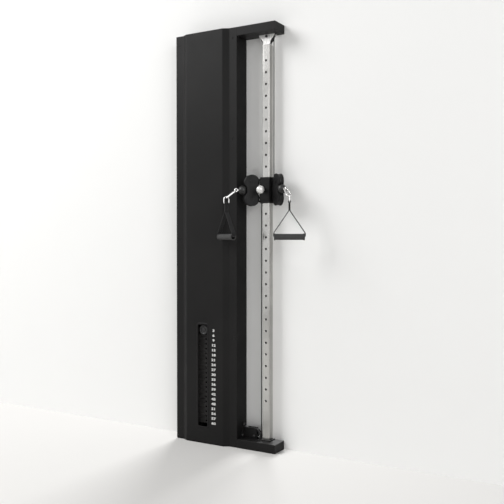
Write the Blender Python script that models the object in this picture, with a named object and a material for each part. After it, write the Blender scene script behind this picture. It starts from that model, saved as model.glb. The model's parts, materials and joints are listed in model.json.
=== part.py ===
import math

import bmesh
import bpy
from mathutils import Matrix, Vector

for leftover in list(bpy.data.objects):
    bpy.data.objects.remove(leftover)

# Axes: X to the right along the wall, Y towards the wall, Z up. The origin is on the floor under the
# column's axis. All sizes are in metres.

# Whole machine
OVERALL_HEIGHT = 2.168
FRAME_DEPTH = 0.102
WALL_TO_COLUMN = 0.034
GAP = 0.0003
# How far joined shapes reach into each other, and how far a cutter runs past what it cuts
WELD_DEPTH = 0.001
CUT_REACH = 0.010

# Arms that join the housing to the column
ARM_HEIGHT = 0.045
ARM_WALL = 0.003
ARM_END_PLATE = 0.004
ARM_OVERHANG = 0.0785
ARM_SLOT_INSET = 0.001
ARM_SLOT_CLEARANCE = 0.0035
HOUSING_TO_COLUMN = 0.1445

# Weight housing
HOUSING_WIDTH = 0.3805
PANEL_SHEET = 0.0025
LIP_WIDTH = 0.030
BASE_THICKNESS = 0.006
COVER_SHEET = 0.002
COVER_RISE = 0.016
COVER_FLANGE = 0.0475
COVER_BEVEL = 0.027
COVER_FOOT = 0.004
SCREW_INSET = 0.0213
SCREW_END = 0.054
SCREWS_PER_SIDE = 5
SCREW_RADIUS = 0.0025
SCREW_CLEARANCE = 0.0003

# Weight stack
STACK_INSET = 0.2015
PLATE_COUNT = 20
PLATE_PITCH = 0.0257
PLATE_GROOVE = 0.0012
PLATE_GROOVE_DEPTH = 0.0025
PLATE_WIDTH = 0.205
PLATE_FRONT = 0.052
PLATE_BACK = 0.024
STACK_BASE = 0.0995
ROD_RADIUS = 0.008
ROD_SPACING = 0.130
ROD_CLEARANCE = 0.0008
ROD_END = 0.008
BUMPER_RADIUS = 0.020
STEM_RADIUS = 0.010
STEM_CLEARANCE = 0.0005
STEM_COLLAR_RADIUS = 0.014
STEM_COLLAR_HEIGHT = 0.006
STEM_NECK_HEIGHT = 0.014
STEM_FOOT = 0.003
FORK_BASE_RISE = 0.010
FORK_BASE_HEIGHT = 0.008
SELECTOR_HOLE_RADIUS = 0.005
SELECTOR_PIN_RADIUS = 0.0042
SELECTOR_KNOB_RADIUS = 0.0265
SELECTOR_KNOB_DEPTH = 0.021
SELECTOR_KNOB_DISH = 0.006
SELECTOR_STANDOFF = 0.004
SLOT_WIDTH = 0.058
SLOT_CORNER = 0.008
SLOT_MARGIN = 0.0015
SLOT_FOOT_MARGIN = 0.009
SLOT_RIM_WIDTH = 0.010
SLOT_RIM_HEIGHT = 0.0015

# Cable and pulleys
CABLE_RADIUS = 0.0025
PULLEY_PITCH_RADIUS = 0.036
PULLEY_FLANGE = 0.0025
PULLEY_WIDTH = 0.014
GROOVE_CLEARANCE = 0.0005
GROOVE_LIP = 0.0012
HUB_RADIUS = 0.009
AXLE_RADIUS = 0.004
AXLE_CLEARANCE = 0.0003
AXLE_HEAD_RADIUS = 0.0065
AXLE_HEAD_HEIGHT = 0.005
BRACKET_SPACE = 0.019
BRACKET_SHEET = 0.003
BRACKET_MARGIN = 0.014
BASE_BRACKET_WIDTH = 0.032
ARM_PULLEY_INSET = 0.055
LOWER_PULLEY_HEIGHT = 0.060
CARRIER_DROP = 0.218
CARRIER_SHEET = 0.004
CARRIER_DEPTH = 0.052
CARRIER_FLANGE = 0.026
CHEEK_MARGIN = 0.018
RISER_CLEARANCE = 0.003
RETURN_PULLEY_DROP = 0.073
STACK_PULLEY_RISE = 0.077
CABLE_HOLE_RADIUS = 0.006
WINDOW_HALF = 0.010

# Column
COLUMN_SIDE = 0.040
COLUMN_WALL = 0.003
COLUMN_TOP_DROP = 0.055
FOOT_SIDE = 0.056
FOOT_THICKNESS = 0.006
SPIGOT_HEIGHT = 0.040
HOLE_COUNT = 30
HOLE_PITCH = 0.060
HOLE_RADIUS = 0.0055
FIRST_HOLE_DROP = 0.178
YOKE_BASE = 0.004
YOKE_FLARE = 0.045
YOKE_PLUG = 0.012

# Lower pulley bracket
LOWER_BRACKET_TOP = 0.101
LOWER_BRACKET_REACH = 0.014
LOWER_BRACKET_FLANGE = 0.005
LOWER_BRACKET_TAB_TOP = 0.122
LOWER_BRACKET_FRONT = 0.026
LOWER_BRACKET_BACK = 0.016
LOWER_BRACKET_CHAMFER = 0.010
LOWER_CHEEK_CHAMFER = 0.006
BOLT_HOLE_RADIUS = 0.0043
FRONT_BOLT_INSET = 0.008
FRONT_BOLT_RISE = 0.011
BACK_BOLT_OFFSET = 0.002
BACK_BOLT_DROP = 0.014

# Carriage
CARRIAGE_HOLE = 11
SLEEVE_HEIGHT = 0.132
SLEEVE_WALL = 0.0034
LINER_WALL = 0.0025
BOSS_WIDTH = 0.055
BOSS_DEPTH = 0.0085
LUG_HEIGHT = 0.016
LUG_REACH = 0.0105
LUG_HALF_DEPTH = 0.011
LUG_CHAMFER = 0.010
BAND_DEPTH = 0.0045
BARREL_RADIUS = 0.012
BARREL_LENGTH = 0.0175
CABLE_MOUTH = 0.002
PULL_PIN_RADIUS = 0.0045
PULL_KNOB_RADIUS = 0.0205
PULL_KNOB_STANDOFF = 0.004
PULL_SKIRT_RADIUS = 0.009
PULL_PIN_DROP = 0.0085
PULL_PIN_STOP = 0.002
PULL_PIN_CHAMFER = 0.001

# Swivelling pulley heads
LEFT_HEAD_SWING = 48
RIGHT_HEAD_SWING = 38
HEAD_REACH = 0.054
DISC_RADIUS = 0.03875
DISC_SPACING = 0.0835
WAIST_HALF = 0.0274
HEAD_SPACE = 0.021
HEAD_PLATE = 0.004
TONGUE_HALF = 0.016
SWIVEL_RADIUS = 0.0073
SWIVEL_PIN_RADIUS = 0.006
SWIVEL_PIN_CLEARANCE = 0.0004
SWIVEL_BORE_RADIUS = 0.0034
WEB_START = 0.0145
WEB_END = 0.020
WEB_HALF_HEIGHT = 0.012
WEB_HALF_DEPTH = 0.009
MOUTH_START = 0.0005
MOUTH_MARGIN = 0.002
CABLE_BEND_INSET = 0.004
WHEEL_PITCH_RADIUS = 0.0345
WHEEL_WIDTH = 0.016
HEAD_BOLT_RADIUS = 0.008
HEAD_BOLT_HEIGHT = 0.0035

# Cable ends, snap hooks and handles
BALL_RADIUS = 0.023
EYE_SHANK_RADIUS = 0.004
EYE_SHANK_LENGTH = 0.004
EYE_RING_RADIUS = 0.0075
EYE_WIRE_RADIUS = 0.0025
HOOK_WIRE_RADIUS = 0.0032
HOOK_LENGTH = 0.064
HOOK_HALF_WIDTH = 0.0118
HOOK_DROOP = 38
GATE_START = 0.017
GATE_END = 0.015
GATE_RADIUS = 0.0028
GATE_NOSE_GAP = 0.0006
RING_WIRE_RADIUS = 0.0025
RING_HALF_WIDTH = 0.0145
RING_HEIGHT = 0.033
RING_CORNER = 0.004
STRAP_WIDTH = 0.022
STRAP_THICKNESS = 0.0028
STRAP_STEM = 0.036
STRAP_DROP = 0.171
GRIP_TURN = 30
GRIP_LENGTH = 0.150
GRIP_RADIUS = 0.0155
GRIP_CAP_RADIUS = 0.017
GRIP_CAP_LENGTH = 0.012
GRIP_BORE_RADIUS = 0.0116
GRIP_CAP_CHAMFER = 0.002
GRIP_END_CLEARANCE = 0.0005

# Number of flats on round pieces
FINE_STEPS = 24
WHEEL_STEPS = 20
SMALL_STEPS = 12
HOLE_STEPS = 10

# Levels and lines worked out from the sizes above
wall_y = WALL_TO_COLUMN
front_y = wall_y - FRAME_DEPTH
housing_right = -HOUSING_TO_COLUMN
housing_left = housing_right - HOUSING_WIDTH
panel_back = wall_y - PANEL_SHEET
lip_front = front_y + COVER_SHEET + GAP
lip_back = lip_front + PANEL_SHEET
cover_face = front_y - COVER_RISE
stack_x = housing_right - STACK_INSET
stack_top = STACK_BASE + PLATE_COUNT * PLATE_PITCH
top_plate_z = stack_top - PLATE_PITCH / 2
upper_pulley_z = OVERALL_HEIGHT - ARM_PULLEY_INSET
upper_run_z = upper_pulley_z + PULLEY_PITCH_RADIUS
lower_run_z = LOWER_PULLEY_HEIGHT - PULLEY_PITCH_RADIUS
riser_x = stack_x + PLATE_WIDTH / 2 + CABLE_RADIUS + RISER_CLEARANCE
return_radius = (riser_x - stack_x - PULLEY_PITCH_RADIUS) / 2
return_x = riser_x - return_radius
return_z = upper_pulley_z - RETURN_PULLEY_DROP
base_pulley_x = riser_x + PULLEY_PITCH_RADIUS
lower_pulley_x = -2 * PULLEY_PITCH_RADIUS
stack_pulley_z = stack_top + STACK_PULLEY_RISE
carrier_z = OVERALL_HEIGHT - CARRIER_DROP
bracket_inner = BRACKET_SPACE / 2
bracket_outer = bracket_inner + BRACKET_SHEET
column_half = COLUMN_SIDE / 2
column_foot_z = ARM_HEIGHT + FOOT_THICKNESS + GAP
arm_underside = OVERALL_HEIGHT - ARM_HEIGHT
column_top_z = arm_underside - COLUMN_TOP_DROP
first_hole_z = OVERALL_HEIGHT - FIRST_HOLE_DROP
carriage_z = first_hole_z - CARRIAGE_HOLE * HOLE_PITCH
liner_inner = column_half + GAP
liner_outer = liner_inner + LINER_WALL
sleeve_inner = liner_outer + GAP
sleeve_outer = sleeve_inner + SLEEVE_WALL
sleeve_half = SLEEVE_HEIGHT / 2
lug_inner = sleeve_half - LUG_HEIGHT
boss_front = -sleeve_outer - BOSS_DEPTH
barrel_front = boss_front - BARREL_LENGTH
head_inner = HEAD_SPACE / 2
head_outer = head_inner + HEAD_PLATE
ball_reach = HEAD_REACH + WAIST_HALF + math.sqrt(BALL_RADIUS**2 - head_inner**2) + GAP
slot_top = top_plate_z + SELECTOR_KNOB_RADIUS + SLOT_MARGIN
slot_bottom = STACK_BASE - SLOT_FOOT_MARGIN
screw_pitch = (OVERALL_HEIGHT - 2 * SCREW_END) / (SCREWS_PER_SIDE - 1)
screw_heights = [SCREW_END + index * screw_pitch for index in range(SCREWS_PER_SIDE)]
screw_columns = [housing_left + SCREW_INSET, housing_right - SCREW_INSET]
bracket_holes = [
    (-LOWER_BRACKET_FRONT + FRONT_BOLT_INSET, ARM_HEIGHT + FRONT_BOLT_RISE),
    (-BACK_BOLT_OFFSET, LOWER_BRACKET_TAB_TOP - BACK_BOLT_DROP),
]

# Each finish: colour, roughness, metallic
FINISHES = {
    "powder": ((0.022, 0.021, 0.021), 0.38, 0.0),
    "dark_powder": ((0.014, 0.014, 0.014), 0.45, 0.0),
    "chrome": ((0.82, 0.82, 0.83), 0.08, 1.0),
    "steel": ((0.45, 0.45, 0.46), 0.35, 1.0),
    "iron": ((0.030, 0.030, 0.032), 0.55, 0.2),
    "black_plastic": ((0.012, 0.012, 0.013), 0.35, 0.0),
    "pale_plastic": ((0.30, 0.30, 0.29), 0.45, 0.0),
    "rubber": ((0.010, 0.010, 0.010), 0.60, 0.0),
    "webbing": ((0.012, 0.012, 0.013), 0.80, 0.0),
    "cable": ((0.020, 0.020, 0.020), 0.40, 0.0),
}


def finish(piece, kind):
    colour, roughness, metallic = FINISHES[kind]
    made = bpy.data.materials.new(piece.name + "_finish")
    made.use_nodes = True
    shader = made.node_tree.nodes["Principled BSDF"]
    shader.inputs["Base Color"].default_value = (*colour, 1.0)
    shader.inputs["Roughness"].default_value = roughness
    shader.inputs["Metallic"].default_value = metallic
    piece.data.materials.append(made)


def link(name, data, parent=None, place=(0, 0, 0)):
    made = bpy.data.objects.new(name, data)
    made.parent = parent
    made.location = place
    bpy.context.scene.collection.objects.link(made)
    return made


def outward(shape):
    """Turns a single body's faces to the outside."""
    bmesh.ops.recalc_face_normals(shape, faces=shape.faces)
    if shape.calc_volume(signed=True) < 0:
        bmesh.ops.reverse_faces(shape, faces=shape.faces)
    return shape


def mesh_from(name, shape):
    mesh = bpy.data.meshes.new(name)
    shape.to_mesh(mesh)
    shape.free()
    return mesh


def piece(name, shape, kind, parent=None, place=(0, 0, 0), smooth=False):
    """A sub-part from a bmesh, in its own finish."""
    made = link(name, mesh_from(name, shape), parent, place)
    finish(made, kind)
    if smooth:
        made.data.shade_smooth()
        made.data.set_sharp_from_angle(angle=math.radians(35))
    return made


def combine(target, shape, operation):
    """Cuts a hidden shape from a sub-part, or joins it on."""
    name = target.name + "_" + operation.lower()
    helper = link(name, mesh_from(name, shape), target.parent, target.location)
    helper.hide_render = True
    helper.display_type = "WIRE"
    modifier = target.modifiers.new(operation.title(), "BOOLEAN")
    modifier.operation = operation
    modifier.solver = "EXACT"
    modifier.object = helper
    return helper


def cut(target, *shapes):
    return combine(target, together(*shapes), "DIFFERENCE")


def join(target, shape):
    return combine(target, shape, "UNION")


def together(*shapes):
    """All shapes in the first one's bmesh, still as separate bodies."""
    first = shapes[0]
    for other in shapes[1:]:
        carrier = bpy.data.meshes.new("carrier")
        other.to_mesh(carrier)
        other.free()
        first.from_mesh(carrier)
        bpy.data.meshes.remove(carrier)
    return first


def prism(outline, axis, low, high):
    """An outline of pairs, in the two other axes in X, Y, Z order, extruded along the axis."""
    order = {"X": (2, 0, 1), "Y": (0, 2, 1), "Z": (0, 1, 2)}[axis]
    shape = bmesh.new()
    corners = [shape.verts.new([(*pair, low)[index] for index in order]) for pair in outline]
    face = shape.faces.new(corners)
    raised = bmesh.ops.extrude_face_region(shape, geom=[face])
    shift = Vector([(0, 0, high - low)[index] for index in order])
    moved = [item for item in raised["geom"] if isinstance(item, bmesh.types.BMVert)]
    bmesh.ops.translate(shape, verts=moved, vec=shift)
    return outward(shape)


def block(x_range, y_range, z_range):
    (left, right), (front, back) = x_range, y_range
    return prism([(left, front), (right, front), (right, back), (left, back)], "Z", *z_range)


def turned(profile, axis="Z", centre=(0, 0, 0), steps=FINE_STEPS, ring=True):
    """A profile of (radius, along) pairs turned about the axis. A ring's profile closes on itself."""
    shape = bmesh.new()
    points = [shape.verts.new((radius, 0, along)) for radius, along in profile]
    pairs = list(zip(points, points[1:]))
    if ring:
        pairs.append((points[-1], points[0]))
    edges = [shape.edges.new(pair) for pair in pairs]
    bmesh.ops.spin(shape, geom=points + edges, cent=(0, 0, 0), axis=(0, 0, 1), angle=math.tau, steps=steps)
    bmesh.ops.remove_doubles(shape, verts=shape.verts, dist=0.00001)
    aim = {
        "X": Matrix.Rotation(math.pi / 2, 4, "Y"),
        "Y": Matrix.Rotation(-math.pi / 2, 4, "X"),
        "Z": Matrix.Identity(4),
    }[axis]
    shape.transform(Matrix.Translation(centre) @ aim)
    return outward(shape)


def rod(radius, axis, centre, low, high, steps=SMALL_STEPS):
    return turned([(0, low), (radius, low), (radius, high), (0, high)], axis, centre, steps, ring=False)


def bolt(axis, centre, head, low, high, nut, head_radius=AXLE_HEAD_RADIUS):
    """An axle bolt from low to high, with its head beyond low and its nut beyond high."""
    radius = AXLE_RADIUS
    profile = [(0, low - head), (head_radius, low - head), (head_radius, low), (radius, low)]
    profile += [(radius, high), (head_radius, high), (head_radius, high + nut), (0, high + nut)]
    return turned(profile, axis, centre, SMALL_STEPS, ring=False)


def rounded_outline(low, high, radius, steps=3):
    """A rectangle with round corners."""
    points = []
    corners = [(high[0], high[1], 0), (low[0], high[1], 90), (low[0], low[1], 180), (high[0], low[1], 270)]
    for corner_x, corner_y, start in corners:
        centre_x = corner_x - math.copysign(radius, corner_x - (low[0] + high[0]) / 2)
        centre_y = corner_y - math.copysign(radius, corner_y - (low[1] + high[1]) / 2)
        for step in range(steps + 1):
            angle = math.radians(start + 90 * step / steps)
            points.append((centre_x + radius * math.cos(angle), centre_y + radius * math.sin(angle)))
    return points


def arc(centre, radius, start, end, steps):
    """Points (across, up) on an arc, with the angles in degrees from +across."""
    turns = [math.radians(start + (end - start) * step / steps) for step in range(steps + 1)]
    return [(centre[0] + radius * math.cos(turn), centre[1] + radius * math.sin(turn)) for turn in turns]


def tube(name, path, radius, kind, parent=None, closed=False):
    """A round tube along a path, as a curve with filled ends."""
    curve = bpy.data.curves.new(name, "CURVE")
    curve.dimensions = "3D"
    curve.bevel_depth = radius
    curve.bevel_resolution = 2
    curve.use_fill_caps = True
    spline = curve.splines.new("POLY")
    spline.points.add(len(path) - 1)
    spline.use_cyclic_u = closed
    for point, spot in zip(spline.points, path):
        point.co = (*spot, 1.0)
    made = link(name, curve, parent)
    finish(made, kind)
    return made


def flat_run(points):
    """Points (across, up) in the plane of the column's axis."""
    return [(across, 0, up) for across, up in points]


def pulley(name, place, parent=None, pitch=PULLEY_PITCH_RADIUS, width=PULLEY_WIDTH, space=BRACKET_SPACE):
    """A grooved wheel turning about Y, with a hub that reaches the plates beside it."""
    rim = pitch + PULLEY_FLANGE
    floor = pitch - CABLE_RADIUS - GROOVE_CLEARANCE
    bore = AXLE_RADIUS + AXLE_CLEARANCE
    hub = space / 2 - GAP
    half = width / 2
    land = CABLE_RADIUS + GROOVE_LIP
    side = [(bore, hub), (HUB_RADIUS, hub), (HUB_RADIUS, half)]
    side += [(rim, half), (rim, land), (floor, land * 0.45)]
    other = [(radius, -along) for radius, along in reversed(side)]
    shape = turned(side + other, "Y", steps=WHEEL_STEPS)
    return piece(name, shape, "black_plastic", parent, place, smooth=True)


def axle_hole(centre, reach=3 * CUT_REACH):
    return rod(AXLE_RADIUS + AXLE_CLEARANCE, "Y", centre, -reach, reach)


# Housing

def cover_line(shift):
    """The cover's section from left to right, moved back by shift."""
    return [
        (housing_left, front_y + shift),
        (housing_left + COVER_FLANGE, front_y + shift),
        (housing_left + COVER_FLANGE + COVER_BEVEL, cover_face + shift),
        (housing_right - COVER_FLANGE - COVER_BEVEL, cover_face + shift),
        (housing_right - COVER_FLANGE, front_y + shift),
        (housing_right, front_y + shift),
    ]


def screw_holes(radius):
    spots = [(across, level) for across in screw_columns for level in screw_heights]
    ends = (front_y - CUT_REACH, front_y + CUT_REACH)
    return [rod(radius, "Y", (across, 0, level), *ends, HOLE_STEPS) for across, level in spots]


def build_cover():
    section = cover_line(0) + list(reversed(cover_line(COVER_SHEET)))
    cover = piece("front_cover", prism(section, "Z", COVER_FOOT, OVERALL_HEIGHT), "powder")
    low = (stack_x - SLOT_WIDTH / 2, slot_bottom)
    high = (stack_x + SLOT_WIDTH / 2, slot_top)
    rim_low = (low[0] - SLOT_RIM_WIDTH, low[1] - SLOT_RIM_WIDTH)
    rim_high = (high[0] + SLOT_RIM_WIDTH, high[1] + SLOT_RIM_WIDTH)
    rim = rounded_outline(rim_low, rim_high, SLOT_CORNER + SLOT_RIM_WIDTH)
    join(cover, prism(rim, "Y", cover_face - SLOT_RIM_HEIGHT, cover_face + COVER_SHEET / 2))
    opening = rounded_outline(low, high, SLOT_CORNER)
    slot = prism(opening, "Y", cover_face - CUT_REACH, cover_face + CUT_REACH)
    cut(cover, slot, *screw_holes(SCREW_RADIUS + SCREW_CLEARANCE))


def cable_window(across, level):
    x_range = (across - 2 * WINDOW_HALF, across + 2 * WINDOW_HALF)
    return block(x_range, (-WINDOW_HALF, WINDOW_HALF), (level - WINDOW_HALF, level + WINDOW_HALF))


def build_shell():
    """Both sides, their front lips and the back, folded from one sheet."""
    outer = [
        (housing_left + LIP_WIDTH, lip_front),
        (housing_left, lip_front),
        (housing_left, wall_y),
        (housing_right, wall_y),
        (housing_right, lip_front),
        (housing_right - LIP_WIDTH, lip_front),
    ]
    inner = [
        (housing_right - LIP_WIDTH, lip_back),
        (housing_right - PANEL_SHEET, lip_back),
        (housing_right - PANEL_SHEET, panel_back),
        (housing_left + PANEL_SHEET, panel_back),
        (housing_left + PANEL_SHEET, lip_back),
        (housing_left + LIP_WIDTH, lip_back),
    ]
    shell = piece("housing_shell", prism(outer + inner, "Z", 0, OVERALL_HEIGHT), "powder")
    windows = [cable_window(housing_right, upper_run_z), cable_window(housing_right, lower_run_z)]
    cut(shell, *windows, *screw_holes(SCREW_RADIUS + SCREW_CLEARANCE))


def closing_outline():
    """The inside of the housing, seen from above."""
    left = housing_left + PANEL_SHEET + GAP
    right = housing_right - PANEL_SHEET - GAP
    lip_left = housing_left + LIP_WIDTH + GAP
    lip_right = housing_right - LIP_WIDTH - GAP
    behind = COVER_SHEET + GAP
    front = [(lip_left, front_y + behind)] + cover_line(behind)[1:5] + [(lip_right, front_y + behind)]
    back = [(lip_right, lip_back + GAP), (right, lip_back + GAP), (right, panel_back - GAP)]
    return front + back + [(left, panel_back - GAP), (left, lip_back + GAP), (lip_left, lip_back + GAP)]


def build_closures():
    panel_z = (OVERALL_HEIGHT - PANEL_SHEET, OVERALL_HEIGHT)
    piece("top_panel", prism(closing_outline(), "Z", *panel_z), "powder")
    base = piece("base_plate", prism(closing_outline(), "Z", 0, BASE_THICKNESS), "dark_powder")
    half = BASE_BRACKET_WIDTH / 2
    for side in (-1, 1):
        cheek = sorted((side * bracket_inner, side * bracket_outer))
        x_range = (base_pulley_x - half, base_pulley_x + half)
        join(base, block(x_range, cheek, (BASE_THICKNESS / 2, LOWER_PULLEY_HEIGHT + BRACKET_MARGIN)))
    join(base, bracket_axle((base_pulley_x, 0, LOWER_PULLEY_HEIGHT), 0))


# Weight stack

def build_guides():
    seat = BASE_THICKNESS + GAP
    inner = ROD_RADIUS + GAP
    head = STACK_BASE - GAP
    ring = [(inner, seat), (BUMPER_RADIUS, seat), (BUMPER_RADIUS, head), (inner, head)]
    for side, facing in (("left", -1), ("right", 1)):
        centre = (stack_x + facing * ROD_SPACING / 2, 0, 0)
        post = rod(ROD_RADIUS, "Z", (0, 0, 0), seat, carrier_z + CARRIER_SHEET + ROD_END, 16)
        piece(side + "_guide_rod", post, "chrome", place=centre, smooth=True)
        piece(side + "_rod_bumper", turned(ring, "Z", steps=16), "rubber", place=centre, smooth=True)


def cut_stack(plates, low, high, levels):
    """Cuts the bores for the rods and the stem, and a pin hole from the front at each level."""
    bores = [rod(STEM_RADIUS + STEM_CLEARANCE, "Z", (stack_x, 0, 0), low, high, SMALL_STEPS)]
    for side in (-1, 1):
        centre = (stack_x + side * ROD_SPACING / 2, 0, 0)
        bores.append(rod(ROD_RADIUS + ROD_CLEARANCE, "Z", centre, low, high, SMALL_STEPS))
    cut(plates, *bores)
    ends = (-PLATE_FRONT - CUT_REACH, -STEM_RADIUS / 2)
    cut(plates, *[rod(SELECTOR_HOLE_RADIUS, "Y", (stack_x, 0, level), *ends, 8) for level in levels])


def plate_ring(inset, level):
    left = stack_x - PLATE_WIDTH / 2 + inset
    right = stack_x + PLATE_WIDTH / 2 - inset
    front = -PLATE_FRONT + inset
    back = PLATE_BACK - inset
    return [(left, front, level), (right, front, level), (right, back, level), (left, back, level)]


def plate_tower(first, count):
    """Plates on top of each other, each standing on a slightly smaller foot."""
    rings = []
    for index in range(count):
        low = STACK_BASE + (first + index) * PLATE_PITCH
        top = low + PLATE_PITCH
        edge = PLATE_GROOVE_DEPTH
        rings += [plate_ring(edge, low), plate_ring(edge, low + PLATE_GROOVE)]
        rings += [plate_ring(0, low + PLATE_GROOVE), plate_ring(0, top)]
    shape = bmesh.new()
    levels = [[shape.verts.new(corner) for corner in ring] for ring in rings]
    for below, above in zip(levels, levels[1:]):
        for index in range(4):
            following = (index + 1) % 4
            shape.faces.new([below[index], below[following], above[following], above[index]])
    shape.faces.new(levels[0])
    shape.faces.new(levels[-1])
    return outward(shape)


def build_stack():
    plates = piece("weight_plates", plate_tower(0, PLATE_COUNT - 1), "iron")
    joint = stack_top - PLATE_PITCH
    centres = [STACK_BASE + PLATE_PITCH * (index + 0.5) for index in range(PLATE_COUNT - 1)]
    cut_stack(plates, STACK_BASE - CUT_REACH, joint + CUT_REACH, centres)
    top = piece("top_plate", plate_tower(PLATE_COUNT - 1, 1), "iron")
    around = (stack_x - PLATE_WIDTH, stack_x + PLATE_WIDTH)
    foot = block(around, (-PLATE_WIDTH, PLATE_WIDTH), (joint - CUT_REACH, joint + GAP))
    cut(top, foot)
    cut_stack(top, joint - CUT_REACH, stack_top + CUT_REACH, [top_plate_z])


def build_stem():
    foot = STACK_BASE + STEM_FOOT
    neck = stack_top + STEM_COLLAR_HEIGHT
    profile = [
        (0, foot),
        (STEM_RADIUS, foot),
        (STEM_RADIUS, stack_top),
        (STEM_COLLAR_RADIUS, stack_top),
        (STEM_COLLAR_RADIUS, neck + STEM_NECK_HEIGHT),
        (0, neck + STEM_NECK_HEIGHT),
    ]
    stem = piece("selector_stem", turned(profile, "Z", (stack_x, 0, 0), SMALL_STEPS, ring=False), "steel")
    across = (stack_x - BRACKET_MARGIN, stack_x + BRACKET_MARGIN)
    fork_base = neck + FORK_BASE_RISE
    web = block(across, (-bracket_outer, bracket_outer), (fork_base, fork_base + FORK_BASE_HEIGHT))
    join(stem, web)
    for side in (-1, 1):
        cheek = sorted((side * bracket_inner, side * bracket_outer))
        join(stem, block(across, cheek, (fork_base + 2 * WELD_DEPTH, stack_pulley_z + BRACKET_MARGIN)))
    levels = [STACK_BASE + PLATE_PITCH * (index + 0.5) for index in range(PLATE_COUNT)]
    ends = (-2 * CUT_REACH, 2 * CUT_REACH)
    cut(stem, *[rod(SELECTOR_HOLE_RADIUS, "Y", (stack_x, 0, level), *ends, 8) for level in levels])
    join(stem, bracket_axle((stack_x, 0, stack_pulley_z), 0))
    pulley("stack_pulley", (stack_x, 0, stack_pulley_z))


def build_selector_pin():
    back = -PLATE_FRONT - SELECTOR_STANDOFF
    front = back - SELECTOR_KNOB_DEPTH
    dish = SELECTOR_KNOB_DISH
    profile = [
        (0, front + dish * 2 / 3),
        (SELECTOR_KNOB_RADIUS * 0.30, front + dish / 6),
        (SELECTOR_KNOB_RADIUS * 0.42, front + dish),
        (SELECTOR_KNOB_RADIUS * 0.70, front + dish),
        (SELECTOR_KNOB_RADIUS * 0.80, front),
        (SELECTOR_KNOB_RADIUS, front + dish / 2),
        (SELECTOR_KNOB_RADIUS, back - dish * 2 / 3),
        (SELECTOR_KNOB_RADIUS * 0.80, back),
        (SELECTOR_PIN_RADIUS, back),
        (SELECTOR_PIN_RADIUS, STEM_RADIUS * 0.6),
        (0, STEM_RADIUS * 0.6),
    ]
    shape = turned(profile, "Y", steps=FINE_STEPS, ring=False)
    piece("selector_pin", shape, "black_plastic", place=(stack_x, 0, top_plate_z), smooth=True)


# Pulley brackets and the pulleys of the frame

def bracket_axle(centre, slack=GAP):
    """An axle through a bracket's two plates. Without slack its ends are one with the plates."""
    half = bracket_outer + slack if slack else bracket_outer - GAP
    return bolt("Y", centre, AXLE_HEAD_HEIGHT, -half, half, AXLE_HEAD_HEIGHT)


def build_carrier():
    left = housing_left + PANEL_SHEET + GAP
    right = housing_right - PANEL_SHEET - GAP
    half = CARRIER_DEPTH / 2
    inner = half - CARRIER_SHEET
    section = [
        (-half, carrier_z),
        (half, carrier_z),
        (half, carrier_z + CARRIER_FLANGE),
        (inner, carrier_z + CARRIER_FLANGE),
        (inner, carrier_z + CARRIER_SHEET),
        (-inner, carrier_z + CARRIER_SHEET),
        (-inner, carrier_z + CARRIER_FLANGE),
        (-half, carrier_z + CARRIER_FLANGE),
    ]
    carrier = piece("pulley_carrier", prism(section, "X", left, right), "dark_powder")
    margin = CHEEK_MARGIN
    foot = carrier_z + CARRIER_SHEET / 2
    cheek = [
        (stack_x - margin, foot),
        (return_x + margin, foot),
        (return_x + margin, return_z + margin),
        (return_x - margin, return_z + margin + CARRIER_SHEET),
        (stack_x + margin, upper_pulley_z + margin * 2 / 3),
        (stack_x - margin, upper_pulley_z + margin * 2 / 3),
    ]
    for side in (-1, 1):
        join(carrier, prism(cheek, "Y", *sorted((side * bracket_inner, side * bracket_outer))))
    lines = [stack_x - PULLEY_PITCH_RADIUS, stack_x + PULLEY_PITCH_RADIUS, riser_x]
    ends = (-CUT_REACH, 2 * CUT_REACH)
    holes = [rod(CABLE_HOLE_RADIUS, "Z", (line, 0, carrier_z), *ends, HOLE_STEPS) for line in lines]
    for side in (-1, 1):
        centre = (stack_x + side * ROD_SPACING / 2, 0, carrier_z)
        holes.append(rod(ROD_RADIUS + 2 * GAP, "Z", centre, *ends, 16))
    cut(carrier, *holes)
    join(carrier, bracket_axle((stack_x, 0, upper_pulley_z), 0))
    join(carrier, bracket_axle((return_x, 0, return_z), 0))


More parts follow.
